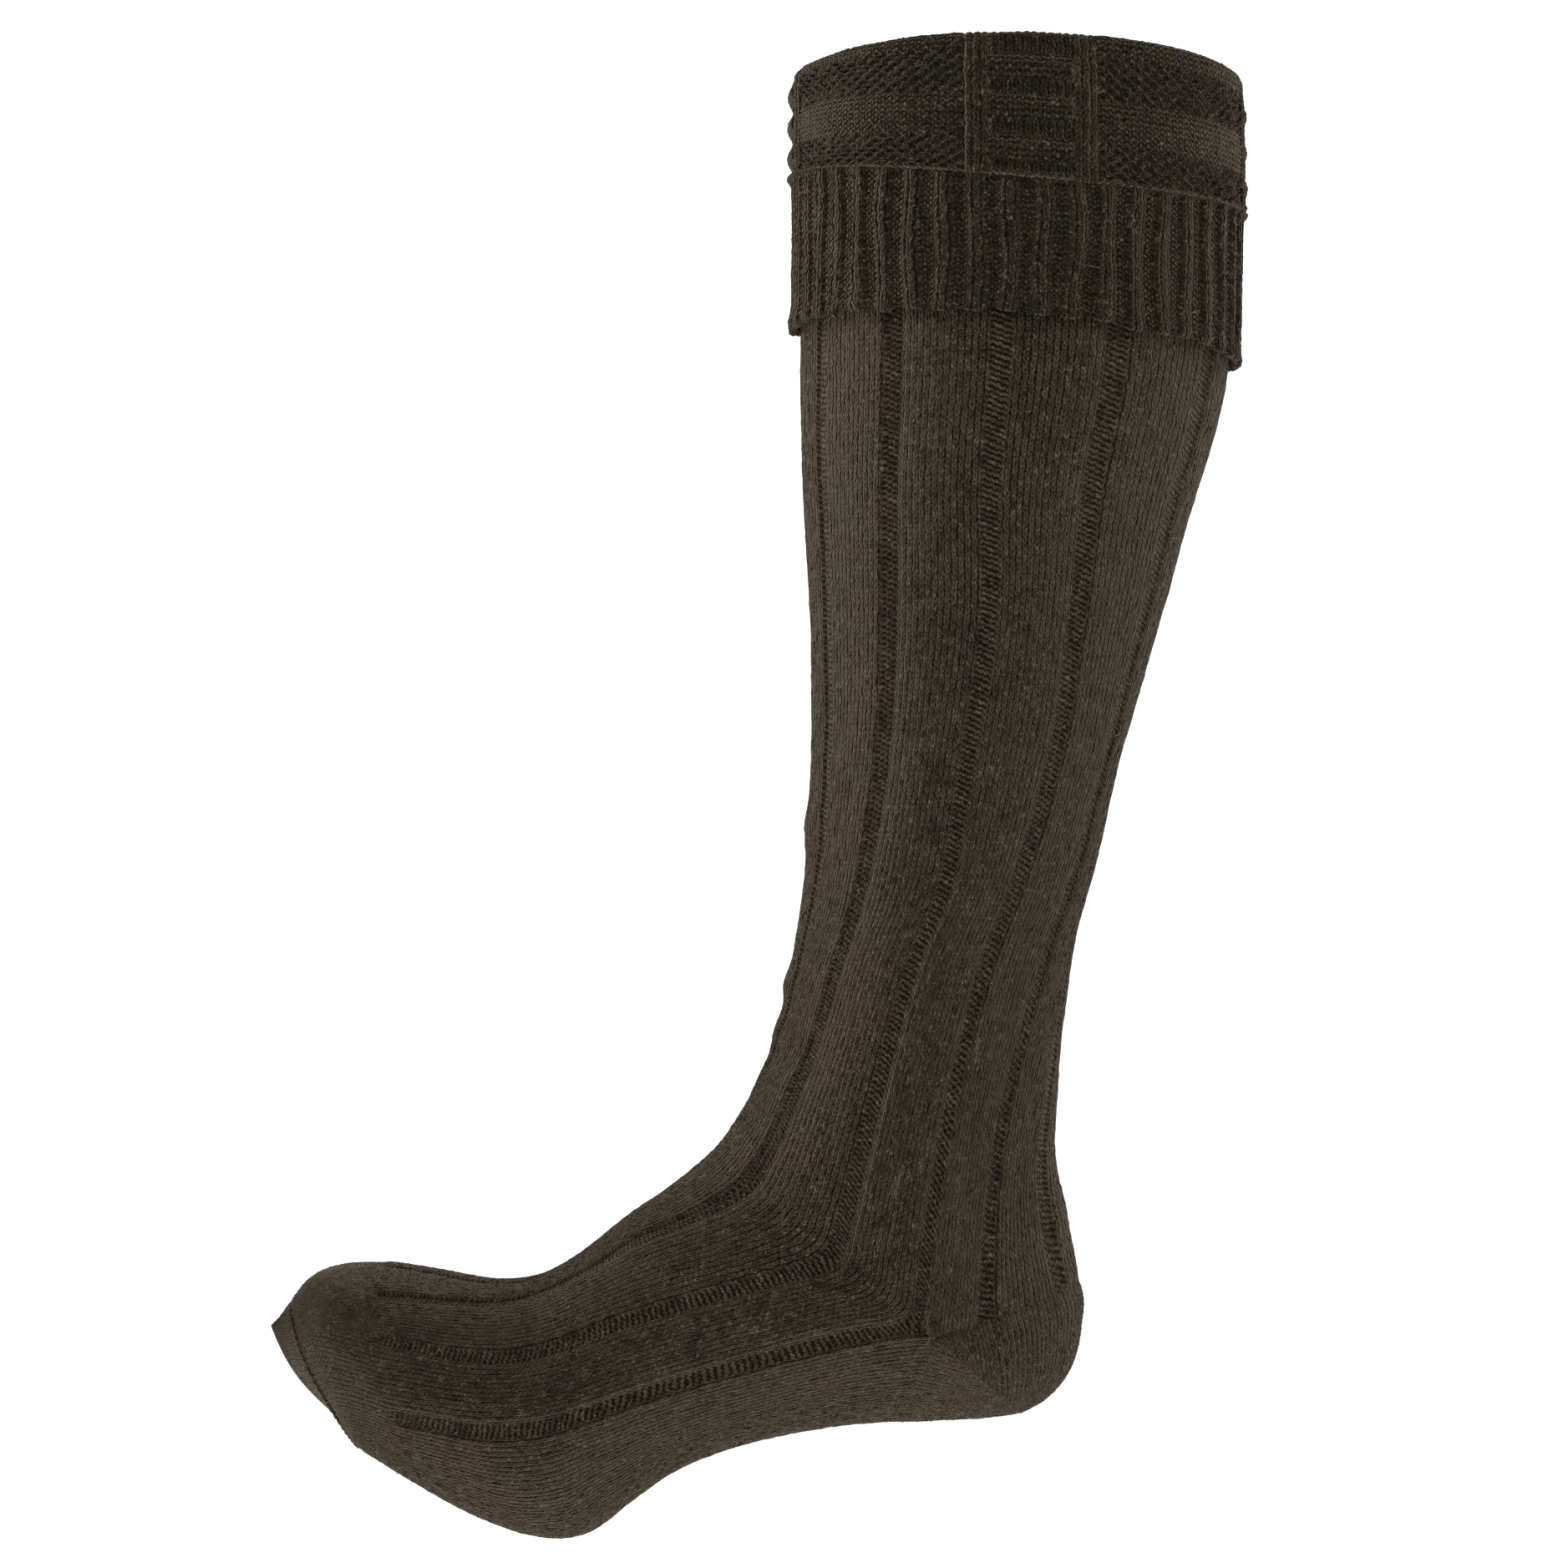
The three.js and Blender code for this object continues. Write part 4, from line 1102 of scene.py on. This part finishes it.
def marl_group():
    """Colour of marled wool: brown and olive patches, lighter and darker stitches, fibres from dark to pale,
    and painted shade in the gaps between stitches and where the Depth input asks for it."""
    tree, given, made = new_group(
        "wool_marl",
        [
            ("Stitch", "NodeSocketVector", None),
            ("Object", "NodeSocketVector", None),
            ("Shade", "NodeSocketColor", (0.02, 0.016, 0.011, 1)),
            ("Base", "NodeSocketColor", (0.05, 0.04, 0.028, 1)),
            ("Olive", "NodeSocketColor", (0.045, 0.042, 0.027, 1)),
            ("Light", "NodeSocketColor", (0.12, 0.1, 0.075, 1)),
            ("Chance", "NodeSocketFloat", 0.0),
            ("Gap", "NodeSocketFloat", 0.0),
            ("Depth", "NodeSocketFloat", 0.0),
        ],
        [("Color", "NodeSocketColor"), ("Fibre", "NodeSocketFloat")],
    )
    stitch, place, shade, base, olive, light = given.outputs[:6]
    chance, gap, depth = (Signal(tree, socket) for socket in given.outputs[6:9])
    stretch = add_node(tree, "ShaderNodeMapping", {"Vector": stitch, "Scale": (0.35, 0.7, 1.0)})
    streak = noise(tree, stretch.outputs[0], 1.0, 3.0)
    fibre = noise(tree, place, 1700.0, 4.0, 0.65)
    fleck = noise(tree, place, 500.0, 2.0)
    patch = noise(tree, place, 38.0, 4.0, 0.6)
    tuft = noise(tree, place, 160.0, 2.0)
    # A noise that makes the painted shade in the gaps patchy
    gap_shade_noise = noise(tree, place, 120.0, 3.0)
    main = blend_colours(tree, spread(patch * 0.6 + tuft * 0.4, 0.4, 0.6), base, olive)
    level = streak * 0.2 + fibre * 0.7 + chance * 0.1 + tuft * 0.25
    toned = blend_colours(tree, spread(level, 0.505, 0.695), shade, main)
    pale = blend_colours(tree, spread(fleck * 0.5 + fibre * 0.5, 0.54, 0.7), toned, light)
    # Painted shade: the gaps between stitches and the depth mask multiply the colour darker
    painted_shade = gap * (spread(gap_shade_noise, 0.3, 0.7, 0.35) + 1.2) + depth * 0.09
    dark = blend_colours(tree, painted_shade, pale, (0.08, 0.075, 0.07, 1), "MULTIPLY")
    feed(tree, made, {"Color": dark, "Fibre": fibre})
    return tree


def new_material(name):
    """A new material, its node tree and its Principled shader."""
    material = bpy.data.materials.new(name)
    material.use_nodes = True
    return material, material.node_tree, material.node_tree.nodes["Principled BSDF"]


def shared_group(name, make):
    """A node group that materials share, made on its first use."""
    return bpy.data.node_groups.get(name) or make()


def wool_material(name, looks, base, relief, wave, slant):
    """Knitted wool: stitch relief as bump, marled colour, and a sheen for the fuzz at grazing angles."""
    material, tree, shader = new_material(name)
    stitch = add_node(tree, "ShaderNodeUVMap", {}, uv_map="stitches").outputs[0]
    purl = add_node(tree, "ShaderNodeAttribute", {}, attribute_name="purl").outputs["Fac"]
    # The depth attribute holds the painted shade that each piece asks for
    depth = add_node(tree, "ShaderNodeAttribute", {}, attribute_name="depth").outputs["Fac"]
    knitting = {"Stitch": stitch, "Purl": purl, "Wave": wave, "Slant": slant}
    knit = add_node(
        tree, "ShaderNodeGroup", knitting, node_tree=shared_group("stitch_relief", stitch_group)
    ).outputs
    colours = {
        "Stitch": stitch,
        "Object": add_node(tree, "ShaderNodeTexCoord", {}).outputs["Object"],
        "Shade": (*(c * looks.shade_share for c in base), 1),
        "Base": (*base, 1),
        "Olive": (*(c * t for c, t in zip(base, looks.olive_turn)), 1),
        "Light": (*looks.pale_fibre, 1),
        "Chance": knit["Chance"],
        "Gap": knit["Gap"],
        "Depth": depth,
    }
    marl = add_node(tree, "ShaderNodeGroup", colours, node_tree=shared_group("wool_marl", marl_group)).outputs
    height = Signal(tree, knit["Height"]) + Signal(tree, marl["Fibre"]) * looks.fibre_relief
    bump = add_node(tree, "ShaderNodeBump", {"Strength": 1.0, "Distance": relief, "Height": height})
    finish = {
        "Base Color": marl["Color"],
        "Normal": bump.outputs[0],
        "Roughness": 0.95,
        "Specular IOR Level": 0.04,
        "Sheen Weight": looks.sheen,
        "Sheen Roughness": looks.sheen_roughness,
        "Sheen Tint": (*looks.sheen_tint, 1),
    }
    feed(tree, shader, finish)
    return material


def fibre_material(name, looks):
    """Loose fibres: from the wool's own brown to pale, by the tone that each fibre was given."""
    material, tree, shader = new_material(name)
    tone = add_node(tree, "ShaderNodeAttribute", {}, attribute_name="tone").outputs["Fac"]
    blend = blend_colours(tree, tone, (*looks.wool, 1), (*looks.stray_fibre, 1))
    feed(tree, shader, {"Base Color": blend, "Roughness": 0.8})
    return material


def metres(label, default, text):
    """A setting for a length."""
    return bpy.props.FloatProperty(name=label, default=default, unit="LENGTH", precision=5, description=text)


def rotation(label, degrees, text):
    """A setting for an angle, given in degrees and kept in radians."""
    size = math.radians(degrees)
    return bpy.props.FloatProperty(name=label, default=size, subtype="ANGLE", description=text)


def strength(label, default, text, unit="NONE"):
    """A setting for a light's power or strength."""
    return bpy.props.FloatProperty(name=label, default=default, min=0, unit=unit, description=text)


def tint(label, default, text):
    """A setting for a colour, in linear light."""
    return bpy.props.FloatVectorProperty(
        name=label, subtype="COLOR", size=3, min=0, max=1, default=default, description=text
    )


def part(label, default, text):
    """A setting for a share, usually from 0 to 1."""
    return bpy.props.FloatProperty(
        name=label, default=default, min=0, soft_max=1, subtype="FACTOR", description=text
    )


def whole(label, default, text):
    """A setting for a number of rows or pieces."""
    return bpy.props.IntProperty(name=label, default=default, min=1, description=text)


class SockSizes(bpy.types.PropertyGroup):
    """Sizes of the stitches and of the cloth's relief."""

    course: metres("Course", 1.85 * MM, "Height of a row of stitches on leg and foot")
    wale_rise: metres("Wale rise", 0.2 * MM, "Height of a knit column over the groove beside it")
    panel_rise: metres("Panel rise", 0.35 * MM, "How far a knit panel swells between two channels")
    channel_depth: metres("Channel depth", 1.0 * MM, "How far the purl channels lie back")
    nap: metres("Nap", 0.1 * MM, "Spread of the random height of the wool's nap")
    fold_crest: metres("Fold crest", 2.6 * MM, "How much higher the fold stands at the sides")
    fold_tilt: metres("Fold tilt", 1.5 * MM, "How much higher the fold stands at the front, and lower behind")
    cuff_tuck: metres("Cuff tuck", 0.8 * MM, "How far the cuff's ground lies under its solid's face")
    foot_tuck: metres("Foot tuck", 0.9 * MM, "How far the foot's ground lies under its solid's face")
    toe_bulge: metres("Toe bulge", 2.4 * MM, "How far the toe's flat end bulges under its tip")
    waviness: metres("Waviness", 0.3 * MM, "Height of the cloth's slow waves")
    mitre: part("Mitre", 0.6, "Where the heel's mitre meets its round, from the leg's seam to the sole's")
    mitre_rise: metres("Mitre rise", 0.12 * MM, "Height of the ridge along the mitre")
    heel_trim: part("Heel trim", 0.004, "How far the heel's panel stops short of its corner")
    seam_radius: metres("Seam radius", 0.95 * MM, "Radius of the linked seam at the toe")
    seam_inset: part("Seam inset", 1.1, "How far the seam lies before the toe's edge, in sections")
    seam_span: rotation("Seam span", 152.0, "How much of the toe the seam crosses")
    seam_stitches: whole("Seam stitches", 26, "Stitches in the linked seam")
    cuff_stitch_rise: metres("Cuff stitch rise", 0.35 * MM, "Height of a stitch on the cuff")
    bar_rise: metres("Bar rise", 1.35 * MM, "Height of the band's purl bars over its face")
    bobble_rise: metres("Bobble rise", 1.25 * MM, "Height of a moss stitch's bead")
    ridge_rise: metres("Ridge rise", 1.0 * MM, "Height of the purl ridge at the band's lower edge")
    rib_wander: rotation("Rib wander", 0.45, "How far the cuff's ribs stray from straight")
    rib_relief: metres("Rib relief", 1.2 * MM, "Depth of the cuff's purl wales between its ribs")
    edge_ragged: metres("Ragged edge", 0.45 * MM, "Spread of the cuff's edge from rib to rib")
    edge_scallop: metres("Scallop", 0.7 * MM, "How much lower the edge hangs at a rib than beside it")
    edge_flare: metres("Flare", 0.6 * MM, "How far the cuff's edge stands off")
    # Reach of the painted shadow on the leg below the cuff
    painted_cuff_shadow: metres("Cuff shade", 7 * MM, "How far below the cuff the leg's wool is dark")
    cast_on_rise: metres("Cast-on rise", 0.5 * MM, "Height of the cast-on cord at the cuff's edge")
    fibre_length: metres("Fibre length", 1.5 * MM, "Usual length of a loose fibre")
    fibre_radius: metres("Fibre radius", 0.045 * MM, "Radius of a loose fibre")
    band_courses: whole("Band courses", 33, "Rows of stitches from the ridge over the fold to the lip")
    rib_courses: whole("Rib courses", 25, "Rows of stitches in the ribbed edge")
    leg_rows: whole("Leg rows", 165, "Rows of the leg's mesh")
    foot_rows: whole("Foot rows", 125, "Rows of the foot's mesh")
    heel_rows: whole("Heel rows", 120, "Rows of the heel's mesh")
    heel_columns: whole("Heel columns", 333, "Columns of the heel's mesh")
    toe_rows: whole("Toe rows", 60, "Rows of the toe's mesh")
    inner_rows: whole("Inner rows", 8, "Rows of the inner faces")
    fibres: whole("Fibres", 13500, "Loose fibres in the wool's colours")
    pale_fibres: whole("Pale fibres", 500, "Pale stray fibres")


class SockLooks(bpy.types.PropertyGroup):
    """Colours and finish of the wool."""

    wool: tint("Wool", (0.066, 0.0475, 0.0335), "Main colour of the leg and foot")
    cuff_wool: tint("Cuff wool", (0.037, 0.0265, 0.0175), "Main colour of the cuff")
    pale_fibre: tint("Pale fibre", (0.16, 0.13, 0.095), "Lightest fibres in the marl")
    stray_fibre: tint("Stray fibre", (0.42, 0.38, 0.31), "Pale stray fibres")
    olive_turn: tint("Olive turn", (0.82, 0.96, 0.84), "What olive patches keep of the main colour")
    shade_share: part("Shade", 0.26, "Darkest fibres, as a share of the main colour")
    sheen: part("Sheen", 0.27, "Strength of the fuzz at grazing angles")
    sheen_roughness: part("Sheen roughness", 0.32, "Spread of the sheen")
    sheen_tint: tint("Sheen tint", (0.62, 0.5, 0.37), "Colour of the fuzz at grazing angles")
    fibre_relief: part("Fibre relief", 0.35, "Height of the fibres as a share of a stitch")
    cuff_wave: part("Cuff wave", 0.19, "How far the cuff's purl bars wave, in courses")
    knit_wave: part("Channel wave", 0.09, "How far the channels' purl bars wave, in courses")
    slant: part("Channel slant", 0.44, "Courses that the channels' purl bars fall over one wale")
    knit_relief: metres("Knit relief", 0.78 * MM, "Bump height of a stitch on leg and foot")
    cuff_relief: metres("Cuff relief", 0.95 * MM, "Bump height of a stitch on the cuff")


class StudioSettings(bpy.types.PropertyGroup):
    """Camera, lights and backdrop."""

    camera_distance: metres("Camera distance", 1.11, "Camera to the middle plane of the sock")
    camera_x: metres("Camera X", -0.0769, "Camera's place along the foot")
    camera_z: metres("Camera Z", -0.2331, "Camera's height from the leg opening")
    lens: bpy.props.FloatProperty(name="Lens", default=76.8, unit="CAMERA", description="Focal length")
    floor_drop: metres("Floor", 1.3, "Floor below the leg opening")
    pale: tint("Backdrop", (0.93, 0.93, 0.93), "Colour of floor and backdrop")
    sky: strength("Sky", 0.28, "Strength of the light all round")
    key: strength("Key", 16.0, "Key light", "POWER")
    fill: strength("Fill", 4.0, "Fill light", "POWER")
    low_fill: strength("Low fill", 14.5, "Fill light beside the toe", "POWER")
    glow: strength("Backdrop glow", 0.62, "Light that the backdrop gives")
    rim: strength("Rim", 27.0, "Rim lights", "POWER")


# The backdrop's half width, its distance behind the sock, the radius of its bend and its height, in metres
SHEET_HALF, SHEET_BACK, SHEET_BEND, SHEET_HEIGHT = 6.0, 3.0, 1.5, 7.0

# Lights: name, setting of its power, place, width and height. All face one point inside the sock.
LIGHT_TARGET = (-0.05, 0.0, -0.24)
LIGHTS = (
    ("key", "key", (-0.1, -1.3, 1.05), 0.7, 0.7),
    ("fill", "fill", (1.2, -1.3, 0.1), 1.2, 1.2),
    ("low_fill", "low_fill", (-0.6, -1.6, -0.5), 1.0, 1.0),
    ("rim_left", "rim", (-1.1, 0.9, 0.3), 0.6, 1.4),
    ("rim_right", "rim", (1.1, 0.9, 0.3), 0.6, 1.4),
)


def cuff_wool(looks):
    """The cuff's darker wool, with waving purl bars."""
    values = (looks.cuff_wool, looks.cuff_relief, looks.cuff_wave, 0.0)
    return bpy.data.materials.get("cuff_knitting") or wool_material("cuff_knitting", looks, *values)


def leg_wool(looks):
    """The wool of leg and foot, with slanting bars in the channels."""
    values = (looks.wool, looks.knit_relief, looks.knit_wave, -looks.slant)
    return bpy.data.materials.get("leg_knitting") or wool_material("leg_knitting", looks, *values)


def fit(item, material, slot, *nodes):
    """Gives a piece its material, and says what it rides on and replaces. The slot is not used."""
    item.data.materials.append(material)
    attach(item, "root")
    if nodes:
        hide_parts(*nodes)


class SOCK_OT_cuff_band(bpy.types.Operator):
    """Knit the patterned band of the turned-down cuff"""

    bl_idname = "sock.cuff_band"
    bl_label = "Cuff Band"

    def execute(self, context):
        scene = context.scene
        fit(make_cuff_band(scene.sock_sizes), cuff_wool(scene.sock_looks), "cuff_wool", "cuff_band")
        return {"FINISHED"}


class SOCK_OT_cuff_rib(bpy.types.Operator):
    """Knit the ribbed edge of the cuff"""

    bl_idname = "sock.cuff_rib"
    bl_label = "Cuff Rib"

    def execute(self, context):
        scene = context.scene
        fit(make_cuff_rib(scene.sock_sizes), cuff_wool(scene.sock_looks), "cuff_wool", "cuff_rib")
        return {"FINISHED"}


class SOCK_OT_leg(bpy.types.Operator):
    """Knit the ribbed leg"""

    bl_idname = "sock.leg"
    bl_label = "Leg"

    def execute(self, context):
        scene = context.scene
        fit(make_leg(scene.sock_sizes), leg_wool(scene.sock_looks), "leg_wool", "leg")
        return {"FINISHED"}


class SOCK_OT_foot(bpy.types.Operator):
    """Knit the instep and the sole"""

    bl_idname = "sock.foot"
    bl_label = "Foot"

    def execute(self, context):
        scene = context.scene
        fit(make_foot(scene.sock_sizes), leg_wool(scene.sock_looks), "foot_wool", "instep", "sole")
        return {"FINISHED"}


class SOCK_OT_heel(bpy.types.Operator):
    """Knit the plain heel cup"""

    bl_idname = "sock.heel"
    bl_label = "Heel"

    def execute(self, context):
        scene = context.scene
        fit(make_heel(scene.sock_sizes), leg_wool(scene.sock_looks), "foot_wool", "heel")
        return {"FINISHED"}


class SOCK_OT_toe(bpy.types.Operator):
    """Knit the plain toe and link its seam"""

    bl_idname = "sock.toe"
    bl_label = "Toe and Seam"

    def execute(self, context):
        scene = context.scene
        fit(make_toe(scene.sock_sizes), leg_wool(scene.sock_looks), "foot_wool", "toe")
        fit(make_toe_seam(scene.sock_sizes), leg_wool(scene.sock_looks), "seam_wool", "toe_seam")
        return {"FINISHED"}


class SOCK_OT_fuzz(bpy.types.Operator):
    """Scatter loose fibres over the knitted pieces"""

    bl_idname = "sock.fuzz"
    bl_label = "Loose Fibres"

    def execute(self, context):
        names = ("cuff_band_knit", "cuff_rib_knit", "leg_knit", "foot_knit", "heel_knit", "toe_knit")
        sources = [bpy.data.objects[name] for name in names]
        sizes = context.scene.sock_sizes
        material = fibre_material("loose_fibre", context.scene.sock_looks)
        dark = make_fuzz("loose_fibres", sources, sizes, sizes.fibres, pale=0.0, seed=3)
        fit(dark, material, "leg_wool")
        pale = make_fuzz("pale_fibres", sources, sizes, sizes.pale_fibres, pale=0.6, seed=5)
        fit(pale, material, "leg_wool")
        return {"FINISHED"}


def area_light(name, place, width, height, power):
    """A soft rectangular light that faces the middle of the sock."""
    light = bpy.data.lights.new(name, "AREA")
    light.shape = "RECTANGLE"
    light.size, light.size_y = width, height
    light.energy = power
    item = bpy.data.objects.new(name, light)
    bpy.context.scene.collection.objects.link(item)
    aim = np.array(LIGHT_TARGET) - np.array(place)
    item.location = place
    item.rotation_euler = (math.atan2(math.hypot(aim[0], aim[1]), -aim[2]), 0, math.atan2(-aim[0], aim[1]))


def make_backdrop(studio):
    """Floor and back wall in one pale sheet, joined by a quarter round."""
    floor = -studio.floor_drop
    bend = np.radians(np.linspace(0, 90, 17))
    y = np.concatenate([[-SHEET_HALF], SHEET_BACK + SHEET_BEND * np.sin(bend), [SHEET_BACK + SHEET_BEND]])
    z = np.concatenate([[floor], floor + SHEET_BEND * (1 - np.cos(bend)), [floor + SHEET_HEIGHT]])
    x = np.array([-SHEET_HALF, SHEET_HALF])
    points = np.stack(np.broadcast_arrays(x, y[:, None], z[:, None]), axis=-1).reshape(-1, 3)
    corners, _, _ = quads(y.size, 2, False, False)
    mesh = bpy.data.meshes.new("backdrop")
    mesh.from_pydata(points.tolist(), [], corners[:, ::-1].tolist())
    mesh.polygons.foreach_set("use_smooth", np.ones(len(corners), bool))
    item = bpy.data.objects.new("backdrop", mesh)
    bpy.context.scene.collection.objects.link(item)
    paper, tree, shader = new_material("pale_paper")
    white = (1, 1, 1, 1)
    finish = {
        "Base Color": (*studio.pale, 1),
        "Roughness": 0.9,
        "Emission Color": white,
        "Emission Strength": studio.glow,
    }
    feed(tree, shader, finish)
    mesh.materials.append(paper)


class SOCK_OT_stage(bpy.types.Operator):
    """Set up the pale backdrop, the soft light and the camera"""

    bl_idname = "sock.stage"
    bl_label = "Stage"

    def execute(self, context):
        scene = context.scene
        studio = scene.sock_studio
        make_backdrop(studio)
        scene.world = bpy.data.worlds.new("soft_sky")
        scene.world.use_nodes = True
        tree = scene.world.node_tree
        feed(tree, tree.nodes["Background"], {0: (1, 1, 1, 1), 1: studio.sky})
        for name, setting, place, width, height in LIGHTS:
            area_light(name, place, width, height, getattr(studio, setting))
        camera = bpy.data.cameras.new("camera")
        camera.lens = studio.lens
        camera.sensor_width = 36.0
        view = bpy.data.objects.new("camera", camera)
        view.location = (studio.camera_x, -studio.camera_distance, studio.camera_z)
        view.rotation_euler = (math.pi / 2, 0, 0)
        scene.collection.objects.link(view)
        scene.camera = view
        scene.view_settings.view_transform = "Standard"
        return {"FINISHED"}


STEPS = (
    "sock.stage",
    "sock.cuff_band",
    "sock.cuff_rib",
    "sock.leg",
    "sock.foot",
    "sock.heel",
    "sock.toe",
    "sock.fuzz",
)


class SOCK_PT_panel(bpy.types.Panel):
    """Lists the sock's pieces, sizes and colours"""

    bl_idname = "SOCK_PT_panel"
    bl_label = "Kilt Hose Sock"
    bl_space_type = "VIEW_3D"
    bl_region_type = "UI"
    bl_category = "Sock"

    def draw(self, context):
        for step in STEPS:
            self.layout.operator(step)
        for settings in (context.scene.sock_sizes, context.scene.sock_looks, context.scene.sock_studio):
            column = self.layout.column(align=True)
            for name in settings.__annotations__:
                column.prop(settings, name)


CLASSES = (
    SockSizes,
    SockLooks,
    StudioSettings,
    SOCK_OT_stage,
    SOCK_OT_cuff_band,
    SOCK_OT_cuff_rib,
    SOCK_OT_leg,
    SOCK_OT_foot,
    SOCK_OT_heel,
    SOCK_OT_toe,
    SOCK_OT_fuzz,
    SOCK_PT_panel,
)


def register():
    """Adds the classes and their settings to Blender."""
    for item in CLASSES:
        bpy.utils.register_class(item)
    bpy.types.Scene.sock_sizes = bpy.props.PointerProperty(type=SockSizes)
    bpy.types.Scene.sock_looks = bpy.props.PointerProperty(type=SockLooks)
    bpy.types.Scene.sock_studio = bpy.props.PointerProperty(type=StudioSettings)


def unregister():
    """Takes the settings and classes away again."""
    del bpy.types.Scene.sock_studio
    del bpy.types.Scene.sock_looks
    del bpy.types.Scene.sock_sizes
    for item in reversed(CLASSES):
        bpy.utils.unregister_class(item)


def main():
    """Builds every piece."""
    register()
    for step in STEPS:
        group, name = step.split(".")
        getattr(getattr(bpy.ops, group), name)()
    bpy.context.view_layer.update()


if __name__ == "__main__":
    main()
